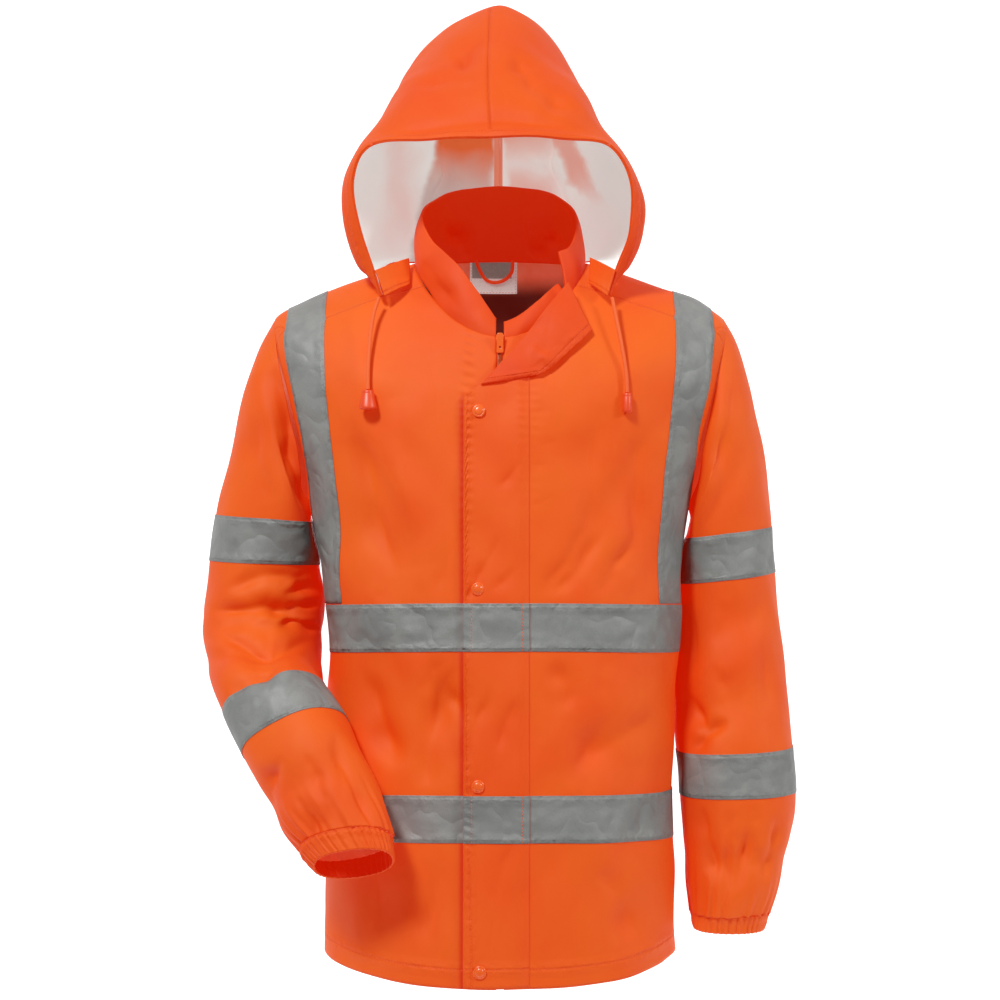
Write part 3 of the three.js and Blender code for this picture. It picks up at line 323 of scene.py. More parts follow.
# Creases of each half of each piece. A line has its places, half width, depth and, where it is lopsided,
# its skew. A crumpled place has its box, number of creases, their direction, width, depth and length.
CREASE_TABLE = (
    # Front of the body
    ("body", "front", (
        ("line", [(-152, -145), (-132, -223), (-107, -301)], 13, -3.6, 1.3),
        ("line", [(-120, -110), (-100, -190), (-84, -290)], 16, 1.6),
        ("line", [(112, -250), (84, -286), (50, -320)], 7, -1.7),
        ("line", [(88, -246), (66, -284), (42, -322)], 6, -1.3),
        ("line", [(150, -240), (130, -280), (100, -318)], 8, -1.6),
        ("line", [(104, -114), (96, -200), (86, -280)], 16, -1.8),
        ("line", [(150, -150), (140, -220), (146, -290)], 9, -1.6),
        ("line", [(-72, -374), (-66, -425), (-78, -520)], 14, -3.8, 0.8),
        ("line", [(-145, -404), (-122, -450), (-103, -500)], 12, -2.4),
        ("line", [(-57, -400), (-39, -450)], 5, -1.8),
        ("line", [(60, -500), (105, -482), (166, -440)], 15, -2.6),
        ("line", [(100, -600), (132, -640), (150, -690)], 12, -2.4),
        ("line", [(-60, -590), (-75, -660), (-70, -710)], 12, -2.2),
        ("line", [(60, -380), (70, -440)], 9, -1.8),
        ("crumple", (-80, -470, -44, -350), 5, 60, 5, -1.3, 22),
        ("crumple", (38, -620, 56, -120), 16, 20, 4, -0.5, 14),
        ("line", [(-14, -282), (-24, -302), (-36, -322)], 5, -0.9),
        ("line", [(16, -290), (0, -304), (-12, -312)], 4, -0.7),
        ("line", [(-8, -412), (-20, -440), (-28, -470)], 5, -1.0),
        ("line", [(20, -420), (6, -450), (-6, -482)], 5, -0.9),
        ("line", [(22, -180), (8, -196), (-8, -206)], 4, -0.6),
        ("line", [(20, -560), (4, -590), (-6, -640)], 6, -0.8),
        ("line", [(-146, -394), (-126, -450), (-110, -505)], 10, -1.8),
        ("line", [(118, -440), (92, -480), (68, -514)], 14, -1.6),
        ("crumple", (-165, -345, 165, -280), 14, 70, 5, -0.9, 26),
        ("crumple", (-150, -640, 160, -380), 12, 75, 8, -1.2, 40),
    )),
    # Back of the body
    ("body", "back", (
        ("line", [(150, -150), (110, -215), (70, -300)], 14, -3.6, 1.3),
        ("line", [(-150, -140), (-115, -210), (-60, -290)], 14, -3.6, 0.8),
        ("line", [(30, -110), (20, -200), (34, -300)], 16, -2.2),
        ("line", [(-120, -390), (-100, -450), (-112, -520)], 13, -3.0),
        ("line", [(90, -380), (60, -440), (64, -520)], 14, -3.2),
        ("line", [(0, -590), (-12, -650), (10, -715)], 14, -2.8),
        ("line", [(110, -600), (128, -650), (120, -710)], 12, -2.4),
        ("crumple", (-150, -640, 150, -120), 22, 80, 8, -1.2, 44),
    )),
    # The wearer's right sleeve, bent at the elbow
    ("sleeve right", "front", (
        ("line", [(-222, -143), (-212, -190), (-203, -240)], 9, -4.2),
        ("line", [(-245, -73), (-225, -130), (-209, -193)], 12, -3.2, 1.3),
        ("line", [(-270, -110), (-262, -170), (-246, -225)], 13, -2.0),
        ("line", [(-317, -338), (-257, -331), (-194, -344)], 7, -4.8),
        ("line", [(-232, -318), (-212, -313), (-190, -316)], 4.5, -3.6),
        ("line", [(-240, -352), (-214, -350), (-190, -358)], 4.5, -3.8),
        ("line", [(-226, -334), (-208, -330), (-190, -331)], 3.5, -3.0),
        ("line", [(-305, -357), (-241, -378), (-195, -368)], 8, -4.4, 1.3),
        ("line", [(-300, -313), (-250, -300), (-214, -298)], 7, -2.6),
        ("line", [(-282, -424), (-250, -398), (-222, -384)], 8, -3.4),
        ("line", [(-222, -478), (-236, -505), (-243, -540)], 7, -3.0),
        ("line", [(-171, -452), (-150, -500), (-128, -552)], 9, -3.2),
        ("line", [(-207, -515), (-190, -545), (-176, -575)], 6, -2.2),
        ("crumple", (-300, -390, -205, -290), 16, 5, 5, -1.6, 30),
        ("crumple", (-250, -580, -130, -470), 12, 115, 5, -1.3, 26),
    )),
    ("sleeve right", "back", (
        ("line", [(-232, -130), (-240, -200), (-236, -270)], 12, -3.2),
        ("line", [(-318, -330), (-262, -345), (-205, -325)], 10, -3.4),
        ("line", [(-290, -430), (-240, -450), (-190, -440)], 10, -2.8),
        ("crumple", (-300, -540, -200, -120), 16, 80, 7, -1.5, 36),
    )),
    # The wearer's left sleeve, hanging
    ("sleeve left", "front", (
        ("line", [(228, -50), (215, -110), (204, -240)], 9, -3.6),
        ("line", [(252, -89), (242, -150), (236, -222)], 11, -2.4),
        ("line", [(206, -300), (204, -380), (199, -470)], 9, -3.2),
        ("line", [(202, -490), (222, -468), (246, -452)], 6, -3.2),
        ("line", [(198, -430), (212, -452), (226, -470)], 6, -2.6),
        ("line", [(280, -360), (292, -430), (300, -497)], 12, -1.8),
        ("line", [(215, -545), (221, -590), (231, -632)], 7, -2.8),
        ("line", [(268, -540), (262, -590), (252, -640)], 7, -2.8),
        ("line", [(296, -550), (292, -590), (282, -630)], 6, -2.2),
        ("line", [(240, -545), (244, -600), (240, -650)], 7, -2.0),
        ("crumple", (205, -640, 300, -545), 10, 85, 5, -1.2, 24),
        ("crumple", (205, -470, 300, -320), 10, 70, 7, -1.2, 34),
    )),
    ("sleeve left", "back", (
        ("line", [(232, -130), (240, -200), (238, -280)], 12, -3.2),
        ("line", [(300, -400), (260, -420), (215, -410)], 10, -3.0),
        ("line", [(230, -560), (236, -600), (232, -650)], 8, -2.6),
        ("crumple", (205, -640, 300, -130), 18, 80, 7, -1.5, 36),
    )),
    # Hood, and its back as seen from inside
    ("hood", "front", (
        ("line", [(-52, 232), (-40, 255), (-24, 282)], 10, -2.6),
        ("line", [(-88, 222), (-50, 232), (-18, 228)], 8, -1.6),
        ("line", [(22, 222), (58, 206), (88, 184)], 12, -2.2),
        ("line", [(12, 262), (26, 240), (34, 215)], 8, -1.8),
        ("line", [(-122, 166), (-60, 174), (0, 178), (60, 173), (112, 165)], 6, -1.6),
    )),
    ("hood", "back", (
        ("line", [(-70, 200), (-80, 150), (-86, 100)], 9, -6.0),
        ("line", [(62, 200), (78, 150), (92, 100)], 9, -5.0),
        ("line", [(-20, 190), (-44, 150), (-50, 110)], 12, -3.0),
        ("line", [(20, 190), (40, 165), (44, 140)], 10, -3.0),
        ("crumple", (-130, 80, 120, 290), 10, 80, 12, -2.0, 60),
    )),
    # Collar, dented at the back
    ("collar", "back", (
        ("line", [(-64, 94), (-46, 72), (-33, 52)], 8, 3.2),
        ("line", [(60, 84), (48, 64), (40, 50)], 8, 3.0),
    )),
    ("collar", "front", (
        ("line", [(-84, 40), (-66, 10), (-40, -20)], 9, -1.6),
        ("crumple", (-80, -30, 80, 80), 6, 60, 7, -0.9, 26),
    )),
    # Lapel and hood flaps
    ("lapel", "front", (
        ("line", [(0, -100), (24, -94), (44, -88)], 6, -1.4),
        ("line", [(30, -56), (46, -70), (52, -84)], 6, 1.2),
        ("crumple", (20, -95, 90, -30), 6, 120, 5, -0.8, 16),
    )),
)
for zone, face, rows in CREASE_TABLE:
    for kind, *row in rows:
        (crease if kind == "line" else scatter)(zone, face, *row)

# Small waves of all the cloth: way and pitch, shift, height
WAVES = []
for _ in range(14):
    way = RANDOM.normal(size=3)
    way /= np.linalg.norm(way)
    WAVES.append((way / RANDOM.uniform(9, 30), RANDOM.uniform(0, 6.28), RANDOM.uniform(0.2, 0.5)))


def ripple(points):
    """Small soft unevenness of all the cloth."""
    return sum(size * np.sin(points @ way + shift + 1.3 * np.sin(points @ way[::-1] * 0.6))
               for way, shift, size in WAVES)


# Lines of stitches that draw up the front: x, height of the puckers
PUCKERED_LINES = ((-33, 1.25), (23, 0.5), (35, 0.4))


def puckers(points):
    """Cloth drawn up by the lines of stitches on the flap and beside it."""
    x, z = points[..., 0], points[..., 2]
    total = 0
    for line, size in PUCKERED_LINES:
        near = np.exp(-((x - line) / 5) ** 2)
        phase = 0.66 * z + 1.5 * np.sin(z / 23) + 0.8 * np.sin(z / 11 + line) + (x - line) * 0.3
        total = total + size * near * np.sin(phase) * (0.65 + 0.35 * np.sin(z / 57 + line))
    return np.where(points[..., 1] < 0, total, 0)


def relief(zone, points, normals):
    """How far the cloth stands off its plain form at these places."""
    height = ripple(points)
    facing = -normals[..., 1]
    if zone == "body":
        height = height + puckers(points)
    for number, made in enumerate(CREASES):
        if made.zone == zone:
            height = height + made.height(points, facing, number)
    return height


def grid_normals(points, is_closed, reference):
    if is_closed:
        du = np.roll(points, -1, axis=1) - np.roll(points, 1, axis=1)
    else:
        du = np.gradient(points, axis=1)
    dv = np.gradient(points, axis=0)
    normals = np.cross(du, dv)
    normals /= np.maximum(np.linalg.norm(normals, axis=-1, keepdims=True), 1e-9)
    if np.sum(normals * reference) < 0:
        normals = -normals
    return normals


# A distance that stands for no line of stitches
NO_STITCHES = 900.0


class Grid:
    """A sheet's places and outward directions, rows by columns."""

    def __init__(self, points, reference, is_closed=False, normals=None):
        self.points = points
        self.is_closed = is_closed
        self.normals = grid_normals(points, is_closed, reference) if normals is None else normals

    def faces(self, start):
        rows, columns = self.points.shape[:2]
        index = start + np.arange(rows * columns).reshape(rows, columns)
        if self.is_closed:
            index = np.concatenate([index, index[:, :1]], axis=1)
        cells = np.stack([index[:-1, :-1], index[:-1, 1:], index[1:, 1:], index[1:, :-1]], axis=-1)
        return cells.reshape(-1, 4)

    def edge_gaps(self, seams):
        """How far each place lies from the nearest line of stitches along an edge, across and up. seams gives
        the inset of the stitches from the left, right, bottom or top edge."""
        gaps = []
        for axis, first, last in ((1, "left", "right"), (0, "bottom", "top")):
            steps = np.linalg.norm(np.diff(self.points, axis=axis), axis=-1)
            start = np.zeros_like(np.take(steps, [0], axis=axis))
            run = np.concatenate([start, np.cumsum(steps, axis=axis)], axis=axis)
            total = np.take(run, [-1], axis=axis)
            gap = np.full(run.shape, NO_STITCHES)
            if first in seams:
                gap = np.minimum(gap, run - seams[first])
            if last in seams:
                gap = np.minimum(gap, total - run - seams[last])
            gaps.append(gap)
        return np.stack(gaps, axis=-1)

    def line(self, side, inset):
        """The line along an edge at an inset from it, as places and outward directions."""
        if side in ("bottom", "top"):
            points, normals = np.swapaxes(self.points, 0, 1), np.swapaxes(self.normals, 0, 1)
        else:
            points, normals = self.points, self.normals
        if side in ("right", "top"):
            points, normals = points[:, ::-1], normals[:, ::-1]
        steps = np.linalg.norm(np.diff(points, axis=1), axis=-1)
        run = np.concatenate([np.zeros((len(points), 1)), np.cumsum(steps, axis=1)], axis=1)
        found = np.clip((run < inset).sum(axis=1), 1, run.shape[1] - 1)
        index = np.arange(len(points))
        low, high = run[index, found - 1], run[index, found]
        part = np.clip((inset - low) / np.maximum(high - low, 1e-6), 0, 1)[:, None]
        return (lerp(points[index, found - 1], points[index, found], part),
                lerp(normals[index, found - 1], normals[index, found], part))

    def lengths(self):
        """Distances along both ways of the grid, in millimetres, for patterns."""
        rows, columns = self.points.shape[:2]
        steps_u = np.linalg.norm(np.diff(self.points[rows // 2], axis=0), axis=1)
        steps_v = np.linalg.norm(np.diff(self.points[:, columns // 2], axis=0), axis=1)
        u = np.concatenate([[0], np.cumsum(steps_u)])
        v = np.concatenate([[0], np.cumsum(steps_v)])
        return np.stack(np.meshgrid(u, v), axis=-1)


THREADS = []
TAPE_THREADS = []
STITCH = 3.4
THREAD = 0.34
FINE_THREAD = 0.2
BOLD_THREAD = 0.5


def sew(points, normals, lift=0.0, is_closed=False, thick=THREAD, store=THREADS):
    """Stitches along a line, each a small spindle of thread half sunk in the cloth."""
    if is_closed:
        points, normals = np.concatenate([points, points[:1]]), np.concatenate([normals, normals[:1]])
    steps = np.linalg.norm(np.diff(points, axis=0), axis=1)
    run = np.concatenate([[0], np.cumsum(steps)])
    count = int(run[-1] // STITCH)
    if count < 2:
        return
    starts = (np.arange(count) + 0.12) * run[-1] / count
    ends = starts + 0.76 * run[-1] / count
    keep = np.concatenate([[True], steps > 1e-6])
    run, points, normals = run[keep], points[keep], normals[keep]

    def at(places, values):
        return np.stack([np.interp(places, run, values[:, axis]) for axis in range(3)], axis=1)
    first, last, middle = at(starts, points), at(ends, points), at((starts + ends) / 2, points)
    way = last - first
    way /= np.maximum(np.linalg.norm(way, axis=1, keepdims=True), 1e-9)
    up = at((starts + ends) / 2, normals)
    up /= np.maximum(np.linalg.norm(up, axis=1, keepdims=True), 1e-9)
    side = np.cross(up, way)
    first, last, middle = (place + up * (lift - 0.02) for place in (first, last, middle))
    store.append(np.stack([first, middle + side * thick, middle + up * thick, middle - side * thick,
                           middle - up * thick, last], axis=1))


def sew_edges(grid, seams, lift=0.0, thick=THREAD, store=THREADS):
    for side, inset in seams.items():
        points, normals = grid.line(side, inset)
        sew(points, normals, lift, grid.is_closed and side in ("bottom", "top"), thick, store)


def add_threads():
    around = ((1, 2), (2, 3), (3, 4), (4, 1))
    spindle = [[0, here, after] for here, after in around] + [[5, after, here] for here, after in around]
    for name, store, finish in (("stitches_cloth", THREADS, THREAD_FINISH),
                                ("stitches_tape", TAPE_THREADS, TAPE_THREAD)):
        places = np.concatenate(store)
        faces = (np.arange(len(places))[:, None, None] * 6 + np.array(spindle)).reshape(-1, 3)
        ride(new_object(name, places.reshape(-1, 3), faces, [finish]), "cloth")


def new_object(name, places, faces, materials, face_materials=None, uvs=None, gaps=None):
    """A mesh from places in millimetres. uvs are for patterns, gaps are distances from the stitches."""
    mesh = bpy.data.meshes.new(name)
    sizes = np.array([len(face) for face in faces])
    corners = np.concatenate([np.asarray(face) for face in faces])
    mesh.vertices.add(len(places))
    mesh.vertices.foreach_set("co", (np.asarray(places) * MM).ravel())
    mesh.loops.add(len(corners))
    mesh.loops.foreach_set("vertex_index", corners.astype(np.int32))
    mesh.polygons.add(len(sizes))
    mesh.polygons.foreach_set("loop_start", np.concatenate([[0], np.cumsum(sizes)[:-1]]).astype(np.int32))
    if face_materials is not None:
        mesh.polygons.foreach_set("material_index", np.asarray(face_materials, np.int32))
    mesh.polygons.foreach_set("use_smooth", np.ones(len(sizes), bool))
    for layer_name, values in (("cloth", uvs), ("stitches", gaps)):
        if values is not None:
            layer = mesh.uv_layers.new(name=layer_name)
            layer.data.foreach_set("uv", (np.asarray(values)[corners] * MM).ravel())
    for material in materials:
        mesh.materials.append(material)
    mesh.update(calc_edges=True)
    mesh.validate()
    made = bpy.data.objects.new(name, mesh)
    bpy.context.scene.collection.objects.link(made)
    return made


# The flat size each cloth piece was cut to, by its name
CUTS = {}


def cut_size(grids):
    """The flat size a piece was cut to: its width, length and area in metres."""
    width = length = area = 0.0
    for grid in grids:
        points = np.concatenate([grid.points, grid.points[:, :1]], axis=1) if grid.is_closed else grid.points
        across = np.linalg.norm(np.diff(points, axis=1), axis=-1)
        up = np.linalg.norm(np.diff(points, axis=0), axis=-1)
        width = max(width, across.sum(axis=1).max())
        length = max(length, up.sum(axis=0).max())
        diagonals = points[1:, 1:] - points[:-1, :-1], points[1:, :-1] - points[:-1, 1:]
        area += 0.5 * np.linalg.norm(np.cross(*diagonals), axis=-1).sum()
    return width * MM, max(length, area / width) * MM, area * MM * MM


def ride(made, slot, *nodes):
    """Puts a piece on the jacket, in place of these solids."""
    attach(made, BODY)
    if nodes:
        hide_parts(*nodes)
    made.name in CUTS
    return made


def turned_out(faces, points, normals):
    """The faces, each with its corners in the order that makes it face outward."""
    cross = np.cross(points[faces[:, 1]] - points[faces[:, 0]], points[faces[:, 2]] - points[faces[:, 0]])
    is_turned = np.sum(cross * normals[faces[:, 0]], axis=1) < 0
    return np.where(is_turned[:, None], faces[:, ::-1], faces)


def edges_of(faces):
    count = faces.shape[1]
    return [np.stack([faces[:, side], faces[:, (side + 1) % count]], axis=1) for side in range(count)]


def shell(name, grids, inner, outer, materials, seams=None):
    """A closed thin wall on one or more grids, between two distances along the outward directions. seams
    gives the insets of its lines of stitches from its edges."""
    seams = seams or {}
    CUTS[name] = cut_size(grids)
    gaps = np.concatenate([grid.edge_gaps(seams).reshape(-1, 2) for grid in grids])
    if materials is TAPE_FINISH:
        sew_edges(grids[0], seams, outer, FINE_THREAD, TAPE_THREADS)
    else:
        sew_edges(grids[0], seams, outer)
    points = np.concatenate([grid.points.reshape(-1, 3) for grid in grids])
    normals = np.concatenate([grid.normals.reshape(-1, 3) for grid in grids])
    uvs = np.concatenate([grid.lengths().reshape(-1, 2) for grid in grids])
    starts = np.concatenate([[0], np.cumsum([grid.points.shape[0] * grid.points.shape[1] for grid in grids])])
    cells = np.concatenate([grid.faces(start) for grid, start in zip(grids, starts)])
    keys = np.round(points * 100).astype(np.int64)
    _, first, known = np.unique(keys, axis=0, return_index=True, return_inverse=True)
    known = known.reshape(-1)
    sums = np.zeros((len(first), 3))
    np.add.at(sums, known, normals)
    normals = sums / np.maximum(np.linalg.norm(sums, axis=1, keepdims=True), 1e-9)
    points, uvs, gaps, cells = points[first], uvs[first], gaps[first], known[cells]
    is_flat = (cells == np.roll(cells, 1, axis=1)).any(axis=1)
    quads, folded = cells[~is_flat], cells[is_flat]
    triangles = []
    for cell in folded:
        kept = [corner for place, corner in enumerate(cell) if corner != cell[place - 1]]
        if len(kept) == 3:
            triangles.append(kept)
    triangles = np.array(triangles, int).reshape(-1, 3)
    quads, triangles = (turned_out(part, points, normals) for part in (quads, triangles))
    edges = np.concatenate(edges_of(quads) + edges_of(triangles))
    count = len(points)
    keys = edges[:, 0] * count + edges[:, 1]
    rim = edges[~np.isin(keys, edges[:, 1] * count + edges[:, 0])]
    rims = np.stack([rim[:, 0], rim[:, 0] + count, rim[:, 1] + count, rim[:, 1]], axis=1)[:, ::-1]
    places = np.concatenate([points + normals * inner, points + normals * outer])
    faces = [quads + count, quads[:, ::-1], triangles + count, triangles[:, ::-1], rims]
    marks = [0, 1, 0, 1, 0]
    sizes = np.concatenate([np.full(len(part), part.shape[1]) for part in faces])
    corners = np.concatenate([part.ravel() for part in faces])
    face_materials = np.concatenate([np.full(len(part), mark) for part, mark in zip(faces, marks)])
    mesh_faces = np.split(corners, np.cumsum(sizes)[:-1])
    materials = materials if isinstance(materials, (list, tuple)) else (materials, materials)
    return new_object(name, places, mesh_faces, materials, face_materials, np.concatenate([uvs, uvs]),
                      np.concatenate([gaps, gaps]))


def moved(grid, height):
    """The grid moved out by a height at each place, with its outward directions kept."""
    return Grid(grid.points + grid.normals * height[..., None], None, grid.is_closed, grid.normals)


def raised(grid, zone):
    """The grid moved out by the cloth's relief."""
    return moved(grid, relief(zone, grid.points, grid.normals))


# Shader maths as plain expressions
class Value:
    def __init__(self, tree, socket):
        self.tree, self.socket = tree, socket

    def math(self, kind, *others):
        values = [self, *others]
        return self.tree.node("ShaderNodeMath", {"operation": kind}, dict(enumerate(values)))

    def __add__(self, other):
        return self.math("ADD", other)

    def __sub__(self, other):
        return self.math("SUBTRACT", other)

    def __mul__(self, other):
        return self.math("MULTIPLY", other)

    def __rsub__(self, other):
        return self.tree.node("ShaderNodeMath", {"operation": "SUBTRACT"}, {0: other, 1: self})

    __radd__ = __add__
    __rmul__ = __mul__

    def smooth(self, low, high):
        return self.tree.node("ShaderNodeMapRange", {"interpolation_type": "SMOOTHSTEP"},
                              {"Value": self, "From Min": low, "From Max": high})


class Finish:
    """A material and its shader maths."""

    def __init__(self, name):
        self.material = bpy.data.materials.new(name)
        self.material.use_nodes = True
        self.nodes = self.material.node_tree.nodes
        self.links = self.material.node_tree.links
        self.shader = self.nodes["Principled BSDF"]
        self.places = self.nodes.new("ShaderNodeTexCoord")

    def node(self, kind, settings=None, values=None, output=0):
        made = self.nodes.new(kind)
        for name, setting in (settings or {}).items():
            setattr(made, name, setting)
        for name, value in (values or {}).items():
            self.feed(made.inputs[name], value)
        return Value(self, made.outputs[output])

    def feed(self, socket, value):
        if isinstance(value, Value):
            self.links.new(value.socket, socket)
        else:
            socket.default_value = value

    def place(self, kind="Object"):
        """Where the surface is, in metres, or its UV."""
        return Value(self, self.places.outputs[kind])

    def noise(self, scale, detail=3.0):
        return self.node("ShaderNodeTexNoise", None,
                         {"Vector": self.place(), "Scale": scale, "Detail": detail, "Roughness": 0.5})

    def mix(self, part, first, second):
        return self.node("ShaderNodeMix", {"data_type": "RGBA"}, {0: part, 6: first, 7: second}, 2)

    def bump(self, height, strength, distance, normal=None):
        values = {"Height": height, "Strength": strength, "Distance": distance}
        if normal is not None:
            values["Normal"] = normal
        return self.node("ShaderNodeBump", None, values)

    def set(self, **values):
        for name, value in values.items():
            self.feed(self.shader.inputs[name.replace("_", " ")], value)
        return self.material


def axes(finish, places, count=3):
    """The x, y and z of places, as values."""
    split = finish.node("ShaderNodeSeparateXYZ", None, {0: places})
    return [Value(finish, split.socket.node.outputs[axis]) for axis in range(count)]


def weave(finish, size, strength, normal=None):
    """Fine plain weave, threads of this width in metres."""
    parts = axes(finish, finish.place("UV"), 2)
    warp, weft = [(part * (math.pi / size)).math("SINE").math("ABSOLUTE") for part in parts]
    return finish.bump(warp * weft, strength, size * 0.4, normal)


def seam_grooves(finish, normal):
    """Grooves and puckers along the lines of stitches, from how far each place lies from them."""
    gaps = finish.node("ShaderNodeUVMap", {"uv_map": "stitches"})
    across, up = [gap.math("ABSOLUTE") for gap in axes(finish, gaps, 2)]
    nearest = across.math("MINIMUM", up)
    groove = 1 - nearest.smooth(0.0002, 0.0022)
    near = 1 - nearest.smooth(0.001, 0.011)
    crumple = finish.noise(150, 2) * near
    normal = finish.bump(crumple, 0.5, 0.004, normal)
    return finish.bump(1 - groove, 0.6, 0.0009, normal), groove


ORANGE = (0.33, 0.090, 0.006, 1)
ORANGE_DEEP = (0.32, 0.066, 0.005, 1)
# Colour of the painted glow: an emission that keeps the orange cloth, cord, thread and plastic bright even in
# shade.
GLOW = (1.0, 0.014, 0.0, 1)


def crisp_creases(finish, normal):
    """Thin bent lines where the stiff coating has been folded, in some places only."""
    wide = finish.node("ShaderNodeMapping", None,
                       {"Vector": finish.place(), "Scale": (1, 1, 0.38), "Rotation": (0, 0.45, 0)})
    for scale, distance in ((7, 0.012), (19, 0.0035)):
        field = finish.node("ShaderNodeTexNoise", None,
                            {"Vector": wide, "Scale": scale, "Detail": 1.5, "Distortion": 0.3})
        normal = finish.bump((field - 0.5).math("ABSOLUTE"), 0.5, distance, normal)
    return normal


def coated_cloth(name, light, deep, has_flap_shade=False, has_sleeve_shade=False):
    """The outside of the cloth, with a painted glow. The shades are painted shade in deeper red: a painted
    shadow beside the flap's free edge, painted shade round the neck and on the side of each sleeve that faces
    the body, and painted shade in the grooves along the lines of stitches."""
    finish = Finish(name)
    blotch = finish.noise(9, 4)
    colour = finish.mix(blotch.smooth(0.3, 0.75), light, deep)
    if has_flap_shade:
        x, y, z = axes(finish, finish.place())
        # Painted shade round the neck: the upper front there is darker red.
        painted_neck_shade = z.smooth(-0.14, -0.01) * (1 - (x + 0.02).math("ABSOLUTE").smooth(0.05, 0.13))
        colour = finish.mix(painted_neck_shade, colour, (0.31, 0.062, 0.005, 1))
        # Painted shadow: a dark red band on the front beside the flap's free edge, where the lifted edge would
        # shade it.
        beside = x.smooth(-0.0450, -0.0385) * (1 - y.smooth(-0.06, -0.05)) * (1 - z.smooth(-0.125, -0.10))
        left_of = 1 - x.smooth(-0.0375, -0.0365)
        colour = finish.mix(beside * left_of * 0.85, colour, (0.16, 0.010, 0.001, 1))
    if has_sleeve_shade:
        # Painted shade on the side of each sleeve that faces the body, weaker on the left sleeve and only
        # above the bent forearm on the right.
        x, _, z = axes(finish, finish.place())
        inner = 1 - (x.math("ABSOLUTE") - z.smooth(-0.12, -0.04) * 0.012).smooth(0.198, 0.238)
        below = z.smooth(-0.41, -0.36).math("MAXIMUM", x.smooth(0, 0.01))
        strength = 0.8 - x.smooth(0, 0.01) * 0.42
        shade = inner * below * strength * (1 - z.smooth(-0.10, -0.06))
        colour = finish.mix(shade, colour, (0.20, 0.014, 0.001, 1))
    fine = crisp_creases(finish, finish.bump(finish.noise(160, 3), 0.10, 0.0006))
    normal = weave(finish, 0.0007, 0.22, fine)
    normal, groove = seam_grooves(finish, normal)
    # Painted shade in the grooves along the lines of stitches.
    colour = finish.mix(groove * 0.2, colour, (0.24, 0.03, 0.002, 1))
    # The emission is a painted glow that keeps the red bright in shade.
    return finish.set(Base_Color=colour, Roughness=finish.noise(30, 3) * 0.12 + 0.55, Normal=normal,
                      Specular_IOR_Level=0.2, Emission_Color=GLOW, Emission_Strength=0.42)


def lining_side(name, has_neck_shade=False):
    """The pale inside of the cloth, tinted salmon by painted orange light and given a painted glow, with
    painted shade down in the neck of the body.
    """
    finish = Finish(name)
    height = finish.noise(24, 4)
    # Salmon tint of the pale coating: painted orange light bouncing inside the jacket.
    colour = finish.mix(height.smooth(0.35, 0.7), (0.84, 0.38, 0.27, 1), (0.78, 0.24, 0.15, 1))
    # Colour of the painted glow of the inside.
    glow = (0.9, 0.10, 0.03, 1)
    if has_neck_shade:
        _, _, z = axes(finish, finish.place())
        # Painted shade down in the neck.
        shade = (1 - z.smooth(0.010, 0.036)) * z.smooth(-0.20, -0.12)
        colour = finish.mix(shade * 0.95, colour, (0.13, 0.008, 0.002, 1))
        glow = finish.mix(shade, glow, (0, 0, 0, 1))
    return finish.set(Base_Color=colour, Roughness=0.6, Normal=finish.bump(height, 0.2, 0.002),
                      Specular_IOR_Level=0.3, Emission_Color=glow, Emission_Strength=0.2)


def hood_inside():
    """Pale coating, with painted orange light coming through the cloth in soft patches on both sides of the
    back seam and an orange strip along that seam. Painted shade turns the coating grey, and all of it has a
    painted glow.
    """
    finish = Finish("hood inside")
    plain_x, _, plain_z = axes(finish, finish.place())
    cloud = finish.noise(20, 3)
    wander = (cloud - 0.5) * 0.03
    x, z = plain_x + wander, plain_z + wander
    # Masks of the painted orange light that comes through the cloth, and of the strip along the back seam.
    lean = x + (z - 0.19) * -0.2
    middle = lean.smooth(-0.080, -0.070) * (1 - x.smooth(-0.014, -0.004))
    show = middle * (z.smooth(0.125, 0.200) + 0.12)
    beside = x.smooth(0.0, 0.01) * (1 - x.smooth(0.045, 0.085))
    patches = z.smooth(0.160, 0.205) * 0.5 + (1 - z.smooth(0.140, 0.170)) * 0.35 + 0.08
    show = show.math("MAXIMUM", beside * patches)
    fold = (x - 0.006 + (z - 0.16) * 0.5 - 0.078).math("ABSOLUTE")
    show = show.math("MAXIMUM", (1 - fold.smooth(0.003, 0.016)) * z.smooth(0.10, 0.16) * 0.6)
    faint = (x + 0.112).math("ABSOLUTE")
    show = show.math("MAXIMUM", (1 - faint.smooth(0.004, 0.026)) * z.smooth(0.04, 0.12) * 0.22)
    seam = (1 - (plain_x + 0.002).math("ABSOLUTE").smooth(0.0042, 0.0058)) * 0.85
    show = show.math("MAXIMUM", seam) + finish.noise(8, 2).smooth(0.55, 0.8) * 0.12
    # Painted shade: the pale coating goes grey.
    shade = middle * 0.55 + x.smooth(0.07, 0.14) * 0.15
    pale = finish.mix(shade, (0.62, 0.70, 0.69, 1), (0.26, 0.28, 0.27, 1))
    colour = finish.mix(show, pale, (0.60, 0.14, 0.045, 1))
    # Painted glow of the coating and of the orange patches.
    glow = finish.mix(show, pale, (0.55, 0.10, 0.02, 1))
    return finish.set(Base_Color=colour, Roughness=0.5, Normal=finish.bump(cloud, 0.3, 0.003),
                      Specular_IOR_Level=0.3, Emission_Color=glow, Emission_Strength=0.52)


